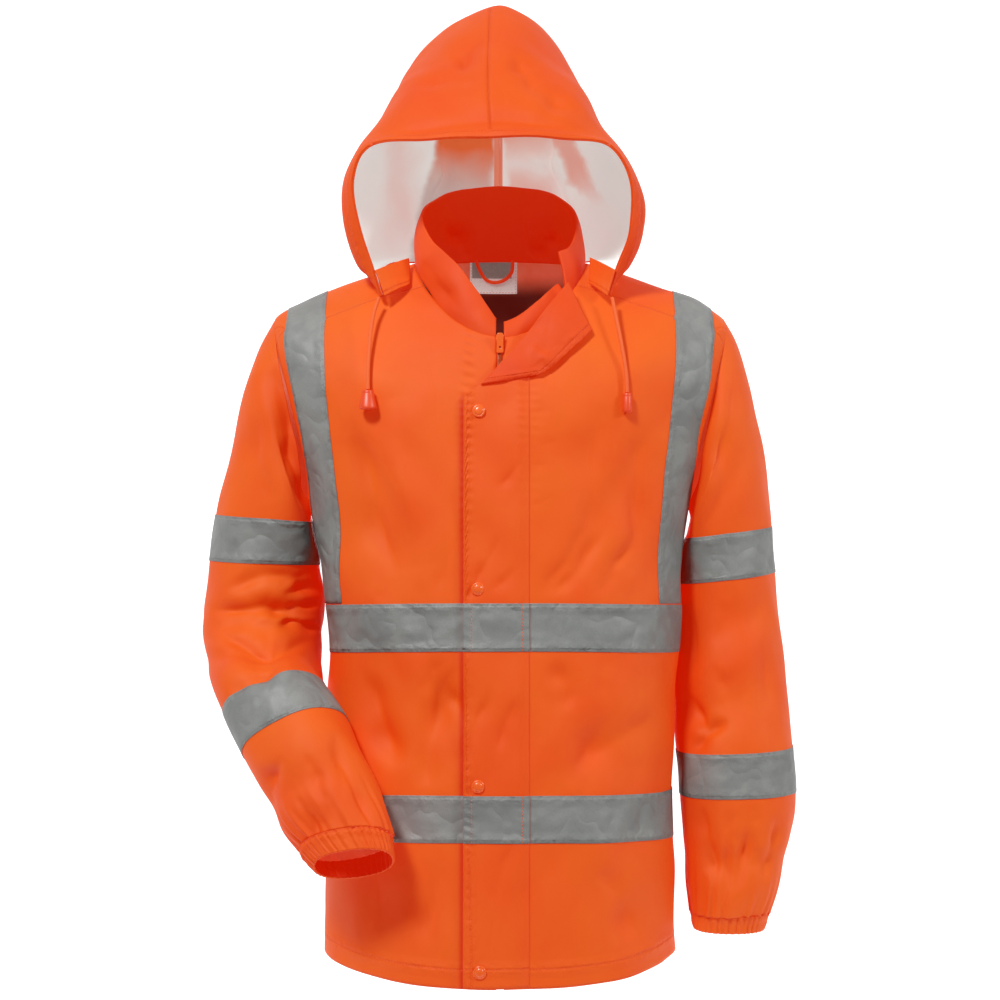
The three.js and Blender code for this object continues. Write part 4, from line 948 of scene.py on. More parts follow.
def reflective_tape():
    """Grey tape with a fine grain, crumpled a little."""
    finish = Finish("reflective tape")
    grain = finish.noise(900, 2)
    crumple = finish.noise(34, 3)
    colour = finish.mix(crumple.smooth(0.35, 0.65), (0.215, 0.220, 0.210, 1), (0.182, 0.187, 0.180, 1))
    colour = finish.mix(grain.smooth(0.4, 0.7) * 0.25, colour, (0.12, 0.12, 0.115, 1))
    ridges = (finish.noise(26, 1.5) - 0.5).math("ABSOLUTE")
    folded = finish.bump(ridges, 0.7, 0.014, finish.bump(grain, 0.15, 0.0004))
    normal, groove = seam_grooves(finish, finish.bump(crumple, 0.3, 0.003, folded))
    # Painted shade in the grooves along the lines of stitches.
    colour = finish.mix(groove * 0.15, colour, (0.15, 0.15, 0.145, 1))
    return finish.set(Base_Color=colour, Roughness=0.58, Metallic=0.1, Specular_IOR_Level=0.3, Normal=normal)


def plastic(name, colour, rough, glow):
    finish = Finish(name)
    grain = finish.noise(700, 2)
    darker = (*(0.9 * part for part in colour[:3]), 1)
    # The emission is a painted glow.
    return finish.set(Base_Color=finish.mix(grain, colour, darker),
                      Roughness=grain * 0.1 + rough, Normal=finish.bump(grain, 0.05, 0.0002),
                      Emission_Color=GLOW, Emission_Strength=glow)


def corded():
    finish = Finish("braided cord")
    wave = finish.node("ShaderNodeTexWave", {"bands_direction": "DIAGONAL"},
                       {"Vector": finish.place(), "Scale": 420.0, "Distortion": 1.5})
    colour = finish.mix(wave, (0.40, 0.12, 0.016, 1), (0.34, 0.06, 0.006, 1))
    # The emission is a painted glow.
    return finish.set(Base_Color=colour, Roughness=0.7, Normal=finish.bump(wave, 0.4, 0.0006),
                      Emission_Color=GLOW, Emission_Strength=0.38)


# The body's cloth carries the painted shadow beside the flap and the painted shade round the neck.
CLOTH_FINISH = coated_cloth("orange coated cloth", ORANGE, ORANGE_DEEP, True)
# A darker copy of the orange cloth for the hood: its deeper red is painted shade.
HOOD_CLOTH = coated_cloth("orange coated cloth of the hood",
                          (0.295, 0.066, 0.004, 1), (0.285, 0.050, 0.004, 1))
# The sleeves' cloth carries painted shade on the side that faces the body.
SLEEVE_CLOTH = coated_cloth("orange coated cloth of the sleeves", ORANGE, ORANGE_DEEP, False, True)
# A darker copy of the orange cloth for the doubled lapel and collar: its deeper red is painted shade.
DOUBLED_IN_PAINTED_SHADE = coated_cloth("orange coated cloth, doubled", (0.285, 0.050, 0.004, 1), (0.27, 0.036, 0.003, 1))
FLAP_CLOTH = coated_cloth("orange coated cloth of the flap",
                          (0.325, 0.082, 0.006, 1), (0.315, 0.061, 0.005, 1))
INSIDE = lining_side("coated inside")
# A darker copy of the orange cloth inside the cuffs: painted shade in the cuff openings.
CUFF_INSIDE = coated_cloth("orange cloth inside the cuff", (0.26, 0.035, 0.003, 1), (0.22, 0.022, 0.002, 1))
BODY_INSIDE = lining_side("coated inside of the body", True)
HOOD_INSIDE = hood_inside()
TAPE_FINISH = reflective_tape()
HARD = plastic("moulded plastic", (0.42, 0.10, 0.012, 1), 0.22, 0.35)
CORD_FINISH = corded()
STOPPER = plastic("moulded cord stopper", (0.36, 0.045, 0.004, 1), 0.38, 0.34)
THREAD_FINISH = plastic("sewing thread", (0.42, 0.10, 0.014, 1), 0.6, 0.35)
TAPE_THREAD = plastic("grey thread", (0.20, 0.19, 0.18, 1), 0.6, 0.0)
TEETH_FINISH = plastic("zip teeth", (0.30, 0.05, 0.006, 1), 0.3, 0.1)


def woven_label():
    """Bare label: a darker field with a pale border, and a pale strip below it."""
    finish = Finish("woven label")
    x, _, z = axes(finish, finish.place())
    within_sides = x.smooth(-0.0315, -0.0310) * (1 - x.smooth(0.0128, 0.0133))
    field = within_sides * z.smooth(0.0300, 0.0305) * (1 - z.smooth(0.0482, 0.0487))
    colour = finish.mix(field, (0.56, 0.55, 0.53, 1), (0.20, 0.19, 0.175, 1))
    colour = finish.mix(finish.noise(500, 2).smooth(0.5, 0.7) * 0.3, colour, (0.34, 0.32, 0.30, 1))
    # The emission is a painted glow of the label's own colours.
    return finish.set(Base_Color=colour, Roughness=0.75, Normal=weave(finish, 0.0006, 0.5),
                      Emission_Color=colour, Emission_Strength=0.35)


LABEL_FINISH = woven_label()

# Braces: x of the inner and outer edge by height
BRACE_INNER = ((-331, 168.6), (-280, 168.7), (-231, 170), (-195, 173), (-159, 177), (-115, 182),
               (-80, 185), (-43, 186.5), (20, 187))
BRACE_OUTER = ((-331, 193.6), (-293, 195.4), (-251, 199.2), (-204, 204.6), (-170, 209), (-130, 215),
               (-78, 226), (-34, 230), (20, 229))


def brace_x(height, part):
    return lerp(curve(BRACE_OUTER, height), curve(BRACE_INNER, height), part)


def body_grid(angle, row):
    """Places on the body by angle and row, with true outward directions."""
    angle, row = np.broadcast_arrays(angle, row)
    safe = np.clip(row, 0.02, NECK_ROW - 0.02)
    across = body(angle + 0.4, safe) - body(angle - 0.4, safe)
    up = body(angle, safe + 0.02) - body(angle, safe - 0.02)
    ways = np.cross(across, up)
    ways /= np.maximum(np.linalg.norm(ways, axis=-1, keepdims=True), 1e-9)
    points = body(angle, row)
    if np.sum(ways * points * (1, 1, 0)) < 0:
        ways = -ways
    return Grid(points, None, False, ways)


def add_front(label, side):
    rows = panel_rows()
    inner = angle_at(lambda height: np.full_like(height, ZIP_HALF), rows)
    edge = front_edge(rows)
    u = np.linspace(0, 1, 74)
    angle = lerp(edge[:, None], inner[:, None], u[None, :])
    grid = raised(body_grid(mirror(angle, side), rows[:, None]), "body")
    made = shell(f"front_panel_{label}", [grid], -CLOTH, 0, (CLOTH_FINISH, BODY_INSIDE), {"bottom": HEM})
    ride(made, "cloth", f"front_{label}")


def add_back():
    rows = panel_rows()
    edge = back_edge(rows)[:, None]
    grids = [body_grid(lerp(180 - edge, 360 + edge, np.linspace(1, 0, 92)[None, :]), rows[:, None])]
    wrap = rows[rows >= SEAM_END_ROW - 1e-6]
    inner = np.where(is_in_armhole(wrap), armhole_angle(armhole_turn(wrap), ARMHOLE_GAP), 0)
    outer = seam_angle(wrap) - np.where(wrap > SEAM_END_ROW + 1e-6, SEAM_GAP, 0)
    for _, side in SIDES:
        angle = lerp(inner[:, None], outer[:, None], np.linspace(0, 1, 26)[None, :])
        grids.append(body_grid(mirror(angle, side), wrap[:, None]))
    grids = [raised(grid, "body") for grid in grids]
    ride(shell("back_panel", grids, -CLOTH, 0, (CLOTH_FINISH, BODY_INSIDE), {"bottom": HEM}), "cloth", "back")


# Sections of the sleeves from the armhole to the cuff, x for the left side: x and z of the outer edge, x and z
# of the inner edge, y of the middle, half depth, lean of the section, tip forward in degrees
SLEEVE_ROWS = {
    "left": np.array([
        [255, -43, 209.5, -228, 2, 56, 0, 0],
        [265, -70, 209, -238, 8, 64, 0, 0],
        [275, -100, 206, -252, 16, 70, 0, 0],
        [284, -140, 202, -272, 24, 74, 0, 0],
        [290.5, -180, 202, -292, 30, 75, 0, 0],
        [295.5, -218, 201, -316, 33, 75, 0, 0],
        [301, -270, 200.5, -345, 34, 75, 0, 0],
        [306.5, -325, 197.5, -378, 33, 75, 0, 0],
        [311.5, -378, 193, -412, 30, 75, 0, 0],
        [315.5, -425, 193.5, -444, 25, 74, 0, 0],
        [318, -470, 194.5, -480, 18, 73, 0, 0],
        [320, -520, 195.5, -523, 12, 70, 0, 0],
        [319.5, -556, 197.5, -556, 8, 66, 0, 0],
        [315.5, -580, 199.5, -580, 5, 63, 0, 0],
        [309.5, -606, 202.5, -606, 3, 60, 0, 0],
        [303, -640, 205.5, -640, 1, 55, 0, 0],
        [294, -665, 207, -665, 0, 49, 0, 0],
        [292, -668, 208.5, -668, 0, 46, 0, 0],
        [288.5, -684, 210, -684, 0, 43, 0, 0],
    ]),
    "right": np.array([
        [258, -43, 209.5, -228, 2, 56, 0, 0],
        [270, -68, 209, -238, 7, 64, 0, 0],
        [280.5, -97, 206, -252, 14, 70, 0, 0],
        [290, -137, 202, -272, 21, 74, 0, 0],
        [299, -180, 202, -290, 27, 75, 0, 0],
        [309, -222, 200, -306, 30, 75, 0, 0],
        [317, -268, 197.5, -324, 30, 75, 0, 0],
        [323, -318, 197.5, -345, 26, 74, 0, 0],
        [325.5, -350, 198, -362, 15, 72, 2, 4],
        [321, -374, 198, -382, -2, 69, 8, 10],
        [313, -400, 196, -393, -28, 65, 12, 17],
        [300, -428, 191, -404, -63, 60, 12, 24],
        [285, -454, 179, -420, -87, 56, 11, 29],
        [264, -492, 160, -448, -114, 52, 10, 32],
        [250, -513, 147, -472, -130, 50, 9, 32],
        [234, -540, 131, -503, -145, 48, 8, 32],
        [221, -560, 120, -530, -156, 45, 5, 32],
        [205, -579, 111, -560, -166, 41, 3, 32],
        [201, -583, 110, -567, -169, 39, 2, 32],
        [190, -594, 106.5, -582, -176, 37, 0, 32],
    ]),
}
SLEEVE_END = {"left": 17, "right": 18}
# Large soft folds of the sleeves, and the fullness at the armpits: columns as for the body
SLEEVE_FOLDS = {
    "left": ((60, 8, 55, 0.6, -5, 0), (120, 10, 60, 0.6, -5, 0), (95, 4, 45, 0.6, -4, 0),
             (60, 15, 60, 0.5, -3, 0), (280, 9, 60, 0.6, -5, 0), (250, 15, 60, 0.5, -3, 0)),
    "right": ((100, 9, 60, 0.5, -6, 0), (70, 11, 60, 0.4, -4, 0), (40, 4, 50, 0.5, -4, 0),
              (70, 16, 60, 0.5, -4, 0), (280, 5, 60, 0.5, -4, 0)),
}
ARMPIT_FILL = ((128, 1.9, 34, 1.5, 8, 0), (165, 6, 60, 3.6, 6.5, 0), (140, 3.8, 45, 1.3, 4, 0),
               (178, 1.3, 60, 1.5, 10, 0))
SLEEVE_SQUARE = 2 / 2.25
SLEEVE_HEAD_REACH = 3


def sleeve(label, side, turn, row):
    """The sleeve and the middle of its section. Row 0 is the armhole, the last row the cuff's far edge."""
    turn, row = np.broadcast_arrays(np.asarray(turn, float), np.asarray(row, float))
    places = [body(mirror(armhole_angle(turn), side), ARMHOLE_MID + SLEEVE_HEAD_REACH * cos_deg(turn))]
    middles = []
    for out_x, out_z, in_x, in_z, depth, half, lean, tip in SLEEVE_ROWS[label]:
        middle = np.array([side * (out_x + in_x) / 2, depth, (out_z + in_z) / 2])
        out = np.array([side * (out_x - in_x) / 2, lean, (out_z - in_z) / 2])
        ahead = np.array([0, -cos_deg(tip), sin_deg(tip)])
        ahead -= out * (ahead @ out) / (out @ out)
        ahead *= half / np.linalg.norm(ahead)
        middles.append(middle)
        places.append(middle + power(cos_deg(turn), SLEEVE_SQUARE)[..., None] * out
                      + power(sin_deg(turn), SLEEVE_SQUARE)[..., None] * ahead)
    plain = along(np.array(places), row, True)
    middle = along(np.array(middles), np.clip(row - 1, 0, len(middles) - 1))
    way = plain - middle
    way /= np.maximum(np.linalg.norm(way, axis=-1, keepdims=True), 1e-9)
    depth = np.where(row < 1, 0, fold_depth(SLEEVE_FOLDS[label], turn, row))
    depth = depth + fold_depth(ARMPIT_FILL, turn, row)
    return plain + way * depth[..., None], middle


def sleeve_grid(label, side, turn, row):
    turn, row = np.broadcast_arrays(turn, row)
    points, middle = sleeve(label, side, turn, row)
    safe = np.maximum(row, 0.03)
    ways = np.cross(sleeve(label, side, turn + 1, safe)[0] - sleeve(label, side, turn - 1, safe)[0],
                    sleeve(label, side, turn, safe + 0.03)[0] - sleeve(label, side, turn, safe - 0.03)[0])
    ways /= np.maximum(np.linalg.norm(ways, axis=-1, keepdims=True), 1e-9)
    if np.sum(ways * (points - middle)) < 0:
        ways = -ways
    return Grid(points, None, True, ways)


def gathers(turn, count, seed):
    """Uneven little pleats round a cuff."""
    angle = np.radians(turn)
    drift = 0.5 * np.sin(2 * angle + seed) + 0.35 * np.sin(5 * angle + 2 * seed)
    drift = drift + 0.25 * np.sin(9 * angle + seed)
    main = np.cos(count * angle + 2.2 * drift)
    fine = np.cos(round(count * 1.7) * angle + 3 * drift + seed)
    return (0.75 + 0.25 * np.sin(3 * angle + seed)) * main + 0.35 * fine


def add_sleeve(label, side):
    end = SLEEVE_END[label]
    turns = np.linspace(0, 360, 145)[:-1]
    parts = np.linspace(0.008, 1, 22), np.linspace(1, end - 3, 136)[1:], np.linspace(end - 3, end, 40)[1:]
    rows = np.concatenate(parts)
    grid = sleeve_grid(label, side, turns[None, :], rows[:, None])
    grid = raised(grid, f"sleeve {label}")
    pull = smooth(end - 2.6, end, rows)[:, None] ** 1.5
    wave = gathers(turns, 20, side)[None, :] * 1.5 * pull
    grid = moved(grid, wave)
    ride(shell(f"sleeve_tube_{label}", [grid], -CLOTH, 0, (SLEEVE_CLOTH, INSIDE)), "cloth", f"sleeve_{label}")


def add_cuff(label, side):
    end = SLEEVE_END[label]
    turns = np.linspace(0, 360, 301)[:-1]
    rows = np.linspace(end + 0.03, end + 2, 24)
    grid = sleeve_grid(label, side, turns[None, :], rows[:, None])
    part = (rows - end)[:, None] / 2
    rib = 1.1 * gathers(turns, 40, side + 2)[None, :] * (0.6 + 0.4 * np.sin(math.pi * part * 3) ** 2)
    height = rib - 0.4 + 1.2 * np.sin(math.pi * part)
    made = shell(f"gathered_cuff_{label}", [moved(grid, height)], -2.8, -0.6, (CLOTH_FINISH, CUFF_INSIDE),
                 {"bottom": 1.5})
    ride(made, "cloth", f"cuff_{label}")


TAPE_EDGES = {"bottom": 2, "top": 2}
TAPE_SIDES = {"left": 2, "right": 2}
# Top and bottom edge of each sleeve band, on the outer and on the inner side of the sleeve, and whether these
# are heights. Otherwise they are rows.
SLEEVE_BANDS = {
    ("left", "upper"): ((-247, -260), (-297, -310), True),
    ("left", "lower"): ((-486, -492), (-535, -539), True),
    ("right", "upper"): ((-234, -242), (-284, -289), True),
    ("right", "lower"): ((13, 12.2), (14.05, 13.75), False),
}


def band_row(label, side, turn, ends, is_height):
    wanted = lerp(ends[0], ends[1], (1 - cos_deg(turn)) / 2)
    if not is_height:
        return wanted
    return solve(lambda row: sleeve(label, side, turn, row)[0][..., 2] > wanted, 1, 16, np.shape(turn))


def tape(name, grid, nodes, seams=TAPE_EDGES):
    """A strip of reflective tape just above the cloth."""
    ride(shell(name, [grid], SEAM, SEAM + TAPE_THICK, TAPE_FINISH, seams), "tape", *nodes)


def add_sleeve_band(label, side, place):
    top, bottom, is_height = SLEEVE_BANDS[label, place]
    turns = np.linspace(0, 360, 165)[:-1]
    high = band_row(label, side, turns, top, is_height)
    low = band_row(label, side, turns, bottom, is_height)
    rows = lerp(high[None, :], low[None, :], np.linspace(0, 1, 20)[:, None])
    grid = raised(sleeve_grid(label, side, turns[None, :], rows), f"sleeve {label}")
    tape(f"tape_sleeve_{label}_{place}", grid, [f"band_sleeve_{label}_{place}"])


# Rows of the bottom and top edge of each body band
BODY_BANDS = {"lower": (2, 3), "upper": (5, 6)}


def add_body_bands(place):
    bottom, top = BODY_BANDS[place]
    rows = np.linspace(bottom, top, 20)
    for label, side in SIDES:
        limit = FLAP_SEWN_X + 0.1 if side > 0 else ZIP_HALF
        inner = angle_at(lambda height: np.full_like(height, limit), rows)
        angle = lerp(front_edge(rows)[:, None], inner[:, None], np.linspace(0, 1, 80)[None, :])
        grid = raised(body_grid(mirror(angle, side), rows[:, None]), "body")
        tape(f"tape_{place}_front_{label}", grid, [f"band_{place}_front_{label}"])
    edge = back_edge(rows)[:, None]
    angle = lerp(180 - edge, 360 + edge, np.linspace(0, 1, 100)[None, :])
    grid = raised(body_grid(angle, rows[:, None]), "body")
    tape(f"tape_{place}_back", grid, [f"band_{place}_back"])


# Height of the flap's top edge by x
FLAP_TOP = ((-38, -114), (-34, -108), (-23, -100), (2.7, -74), (31, -42))
FLAP_STITCHES = 9


def flap_lift(x):
    """How far the flap's underside stands off the fronts: it sinks into the seam at its sewn edge."""
    return lerp(1.9, -1.5, smooth(18, FLAP_SEWN_X, x))


def row_at_height(angle_of, height):
    def is_low(row):
        return body(angle_of(row), row)[..., 2] < height
    return solve(is_low, 0, NECK_ROW, np.shape(height))


def flap_grid(x, rows, extra=0.0):
    grid = raised(body_grid(angle_across(x, rows), rows), "body")
    return moved(grid, np.broadcast_to(flap_lift(x) + extra, rows.shape))


def add_flap():
    x = np.linspace(FLAP_FREE_X, FLAP_SEWN_X - 0.3, 34)
    tops = row_at_height(lambda row: angle_across(x, row), curve(FLAP_TOP, x))
    rows = lerp(0.02, tops[None, :], np.linspace(0, 1, 270)[:, None])
    grid = flap_grid(np.broadcast_to(x, rows.shape), rows)
    seams = {"left": FLAP_STITCHES, "bottom": HEM}
    made = shell("storm_flap_cloth", [grid], 0, DOUBLE_CLOTH, FLAP_CLOTH, seams)
    ride(made, "cloth", "storm_flap")
    for place, (bottom, top) in BODY_BANDS.items():
        rows = np.broadcast_to(np.linspace(bottom, top, 20)[:, None], (20, len(x)))
        grid = flap_grid(np.broadcast_to(x, rows.shape), rows, DOUBLE_CLOTH + SEAM)
        made = shell(f"tape_{place}_flap", [grid], 0, TAPE_THICK, TAPE_FINISH, TAPE_EDGES)
        ride(made, "tape", f"band_{place}_flap")
        sew_edges(grid, {"left": FLAP_STITCHES, "right": 8}, TAPE_THICK + 0.05, BOLD_THREAD)


# The lapel in strips from its point to the collar: x, y, z at the fold and x, y, z at the free edge
LAPEL_ROWS = np.array([
    [-20, -125.2, -98, 43, -120.5, -87],
    [5, -118.5, -72, 58, -117, -76],
    [28, -111, -43, 74, -110.5, -61],
    [50, -101, -15, 86, -104, -50],
    [72, -82, 12, 96, -96.5, -40],
])


def add_lapel():
    u = np.linspace(0, 1, 50)[None, :]
    at = along(LAPEL_ROWS, np.linspace(0, 4, 70)[:, None] + 0 * u)
    points = lerp(at[..., :3], at[..., 3:], u[..., None])
    points[..., 1] -= 3 * np.sin(math.pi * u)
    grid = raised(Grid(points, np.array([0, -1, 0])), "lapel")
    half = DOUBLE_CLOTH / 2
    ride(shell("lapel_cloth", [grid], -half, half, DOUBLED_IN_PAINTED_SHADE, {"right": 6, "bottom": 7}), "cloth", "lapel")


# Height of the collar's top edge by angle: the band, the low strip behind the zip and the right front
COLLAR_TOP = ((-180, 92), (-165, 104), (-150, 113), (-135, 122), (-120, 128), (-90, 133), (-60, 128),
              (-45, 122), (-30, 113), (-15, 101), (0, 84), (15, 66), (30, 52), (42.5, 46))
COLLAR_STRIP_TOP = ((44, 11), (50, 5), (60, -6), (75, -21), (87, -30))
COLLAR_RIGHT_TOP = ((93, -27), (105, 0), (120, 28), (135, 46), (150, 60), (165, 77), (180, 92))
COLLAR_WALL = (-1.5, 1.0)
COLLAR_SUNK = 2.5


def collar_grid(top_rows, low, high, columns, rows):
    angle = np.linspace(low, high, columns)[None, :]
    up = np.linspace(0, 1, rows)[:, None]
    foot = body(angle, NECK_ROW) + np.zeros((rows, columns, 3))
    out = foot * (1, 1, 0)
    out /= np.linalg.norm(out, axis=-1, keepdims=True)
    top = curve(top_rows, angle)
    foot[..., 2] = lerp(foot[..., 2] - COLLAR_SUNK, top, up)
    belly = 1.2 * np.sin(math.pi * up) - 9 * up * up - 1.1
    return Grid(foot + out * belly[..., None], out)


def add_collar():
    grids = [collar_grid(COLLAR_TOP, -180, 42.5, 170, 44), collar_grid(COLLAR_RIGHT_TOP, 92.6, 180, 66, 44)]
    grids = [raised(grid, "collar") for grid in grids]
    ride(shell("collar_cloth", grids, *COLLAR_WALL, DOUBLED_IN_PAINTED_SHADE), "cloth", "collar")
    strip = raised(collar_grid(COLLAR_STRIP_TOP, 43.2, 87.5, 36, 16), "collar")
    ride(shell("collar_strip_cloth", [strip], *COLLAR_WALL, DOUBLED_IN_PAINTED_SHADE), "cloth", "collar_front_strip")


# Ribs of the hood from its foot over the top, for the wearer's right: x, y, z from the face edge to the back
HOOD_RIBS = np.array([
    [[124, -76, -2], [131, -38, 23], [113, 14, 41], [67, 67, 46], [0, 82.5, 49.4]],
    [[134, -76, 26], [152, -52, 31], [142, 12, 46], [86, 92, 62], [0, 112, 68]],
    [[148, -85, 68], [168, -62, 82], [152, 20, 92], [92, 112, 96], [0, 132, 104]],
    [[155, -95, 119], [165, -55, 125], [145, 25, 150], [82, 116, 165], [0, 146, 172]],
    [[134, -109, 153], [140, -50, 172], [112, 25, 205], [62, 102, 226], [0, 138, 240]],
    [[70, -127, 157], [92, -72, 213], [88, 6, 259], [70, 66, 291], [0, 108, 306]],
    [[0, -131, 158], [0, -86, 224], [0, -36, 280], [0, 16, 322], [0, 62, 328]],
], float)
HOOD_TOP_RIB = 6
HOOD_LAST_RIB = 12
HOOD_SEAM_RIB = 0.14
HOOD_LEFT_SHARE = 0.93
# Widths of the left half from the top down, as shares of the right half's
HOOD_LEFT_SHARES = np.array([0.83, 0.85, 0.895, HOOD_LEFT_SHARE, HOOD_LEFT_SHARE, HOOD_LEFT_SHARE])
HOOD_BACK_GAP = 0.2
HOOD_MIDDLE = (0, 0, 120)
# How far the rib beside the top leans to the right
HOOD_TOP_LEAN = np.array([0, 2, 6, 8, 0])


def hood(u, v):
    """v runs from the right foot over the top to the left foot, u from the face edge to the back."""
    u, v = np.broadcast_arrays(np.asarray(u, float), np.asarray(v, float))
    left = HOOD_RIBS[-2::-1].copy()
    left[..., 0] *= HOOD_LEFT_SHARES[:, None]
    ribs = np.concatenate([HOOD_RIBS * (-1, 1, 1), left])
    ribs[HOOD_TOP_RIB - 1, :, 0] -= HOOD_TOP_LEAN
    places = np.array([along(rib, u * 4) for rib in ribs])
    return along(places, v, True)


def hood_grid(u, v):
    u, v = np.broadcast_arrays(u, v)
    a, b = np.clip(u, 0.01, 0.99), np.clip(v, 0.02, HOOD_LAST_RIB - 0.02)
    ways = np.cross(hood(a + 0.01, b) - hood(a - 0.01, b), hood(a, b + 0.02) - hood(a, b - 0.02))
    ways /= np.maximum(np.linalg.norm(ways, axis=-1, keepdims=True), 1e-9)
    points = hood(u, v)
    if np.sum(ways * (points - HOOD_MIDDLE)) < 0:
        ways = -ways
    return Grid(points, None, False, ways)


def edge_share(v):
    """The share of the way to the back that the casing or the visor hem takes up."""
    width = np.where(np.abs(v - HOOD_TOP_RIB) < 2, VISOR_HEM_WIDTH, CASING_WIDTH)
    step = np.linalg.norm(hood(0.05, v) - hood(0 * v, v), axis=-1)
    return 0.05 * width / step


def back_share(v):
    """The share of the way to the back where the halves meet at the centre seam."""
    off = np.maximum(np.abs(v - HOOD_TOP_RIB), HOOD_SEAM_RIB)
    return solve(lambda u: -hood(u, HOOD_TOP_RIB - off)[..., 0] > HOOD_BACK_GAP, 0.5, 1, np.shape(v))


# Edges of the hood's face opening: name, first and last rib, how full it is and how much it is drawn up
HOOD_EDGES = (
    ("hood_casing_right", 0, 3.98, 1, 0.45),
    ("hood_casing_left", 8.02, 12, 1, 0.45),
    ("hood_visor_hem", 4.02, 7.98, 0.35, 0.15),
)
HOOD_BACK_STITCHES = {"right": 3, "left": 8}


def add_hood():
    halves = {"right": np.linspace(0, HOOD_TOP_RIB - HOOD_SEAM_RIB - 0.0008, 120),
              "left": np.linspace(HOOD_TOP_RIB - HOOD_SEAM_RIB + 0.0008, HOOD_LAST_RIB, 130)}
    for label, v in halves.items():
        share = back_share(v)[:, None] * np.linspace(0, 1, 98)[None, :]
        grid = raised(hood_grid(share, v[:, None]), "hood")
        made = shell(f"hood_panel_{label}", [grid], -CLOTH, 0, (HOOD_CLOTH, HOOD_INSIDE),
                     {"right": HOOD_BACK_STITCHES[label]})
        ride(made, "cloth", f"hood_{label}")
    for name, low, high, full, gather in HOOD_EDGES:
        v = np.linspace(low, high, 90)
        part = np.linspace(0, 1, 14)[None, :]
        grid = raised(hood_grid(edge_share(v)[:, None] * part, v[:, None]), "hood")
        puff = 1.6 * np.sin(math.pi * part) ** 0.6 * full + 0 * v[:, None]
        steps = np.linalg.norm(np.diff(grid.points[:, 0], axis=0), axis=1)
        run = np.concatenate([[0], np.cumsum(steps)])[:, None]
        drawn = np.sin(0.55 * run + 1.4 * np.sin(run / 19)) * (0.6 + 0.4 * np.sin(run / 31))
        grid = moved(grid, SEAM + (puff + gather * drawn * part))
        ride(shell(f"{name}_cloth", [grid], 0, THIN_CLOTH, HOOD_CLOTH, {"right": 1.4}), "cloth", name)


HOOD_FLAP = {
    "top_out": (132, -77.7, 25),
    "top_in": (98.5, -26, 43),
    "low_out": (122.5, -78, -3),
    "low_in": (95.5, -53, 13),
}


def add_hood_flap(label, side):
    share = HOOD_LEFT_SHARE if side > 0 else 1
    corner = {name: np.array([side * x * (share if name.endswith("out") else 1), y, z])
              for name, (x, y, z) in HOOD_FLAP.items()}
    u, v = np.meshgrid(np.linspace(0, 1, 30), np.linspace(0, 1, 24))
    low = lerp(corner["low_out"], corner["low_in"], u[..., None])
    high = lerp(corner["top_out"], corner["top_in"], u[..., None])
    points = lerp(low, high, v[..., None])
    points[..., 1] -= 4 * np.sin(math.pi * u)
    grid = raised(Grid(points, np.array([side, -1, 0])), "hood flap")
    made = shell(f"hood_flap_cloth_{label}", [grid], -1, 1, CLOTH_FINISH, {"bottom": 4})
    ride(made, "cloth", f"hood_flap_{label}")


BRACE_TURN_ROW = 14.2
BRACE_OVER_X = (229, 187)


def add_braces(label, side):
    """One tape a side: up the front, over the shoulder and down the back."""
    low = BODY_BANDS["upper"][1] + 0.02
    parts = np.linspace(0, 1, 20)

    def brace_top(part):
        def is_low(row):
            return angle_at(lambda height: brace_x(height, part), row) > seam_angle(row)
        return solve(is_low, ARMHOLE_MID, 17, np.shape(part))

    tops = brace_top(parts)
    up = np.linspace(0, 1, 110)[:, None]
    rows = lerp(low, tops[None, :] - 0.03, up)
    edge = front_edge(rows)
    angle = angle_at(lambda height: brace_x(height, parts[None, :]), rows)
    angle = np.maximum(angle, edge + 0.4 + parts[None, :])
    front = body_grid(mirror(angle, side), rows)

    over_x = lerp(*BRACE_OVER_X, parts)
    turn = angle_at(lambda height: over_x, np.full_like(parts, BRACE_TURN_ROW))
    v = np.linspace(0, 1, 30)[:, None]
    over_angle = lerp(-turn[None, :], seam_angle(tops)[None, :] - 0.2, v)
    wanted = over_x[None, :] / np.abs(cos_deg(over_angle)) ** (2 / 2.15)
    over_row = solve(lambda row: along(RING_ROWS, row)[..., 0] > wanted, 13.5, NECK_ROW, wanted.shape)
    over_row[0] = BRACE_TURN_ROW
    over = body_grid(mirror(over_angle, side), over_row)
    rows = lerp(low, BRACE_TURN_ROW, np.linspace(0, 1, 80)[:, None]) + 0 * parts[None, :]
    fade = smooth(0.6, 1, np.linspace(0, 1, 80)[:, None])
    angle = angle_at(lambda height: lerp(brace_x(height, parts[None, :]), over_x[None, :], fade), rows, True)
    back = body_grid(mirror(angle, side), rows)
    pieces = [front, Grid(over.points[::-1][1:], None, False, over.normals[::-1][1:]),
              Grid(back.points[::-1][1:], None, False, back.normals[::-1][1:])]
    whole = Grid(np.concatenate([piece.points for piece in pieces]), None, False,
                 np.concatenate([piece.normals for piece in pieces]))
    nodes = [f"brace_front_{label}", f"brace_back_{label}"]
    tape(f"brace_tape_{label}", raised(whole, "body"), nodes, TAPE_SIDES)


def add_zip_tapes():
    rows = np.linspace(0.1, NECK_ROW - 0.1, 260)[:, None]
    for label, side in SIDES:
        x = np.linspace(0.5, 13, 8)[None, :] + 0 * rows
        grid = raised(body_grid(angle_across(side * x, rows + 0 * x), rows + 0 * x), "body")
        depth = -CLOTH - 2 * SEAM
        made = shell(f"zip_tape_cloth_{label}", [grid], depth - 0.8, depth, CLOTH_FINISH)
        ride(made, "zip_cloth", f"zip_tape_{label}")


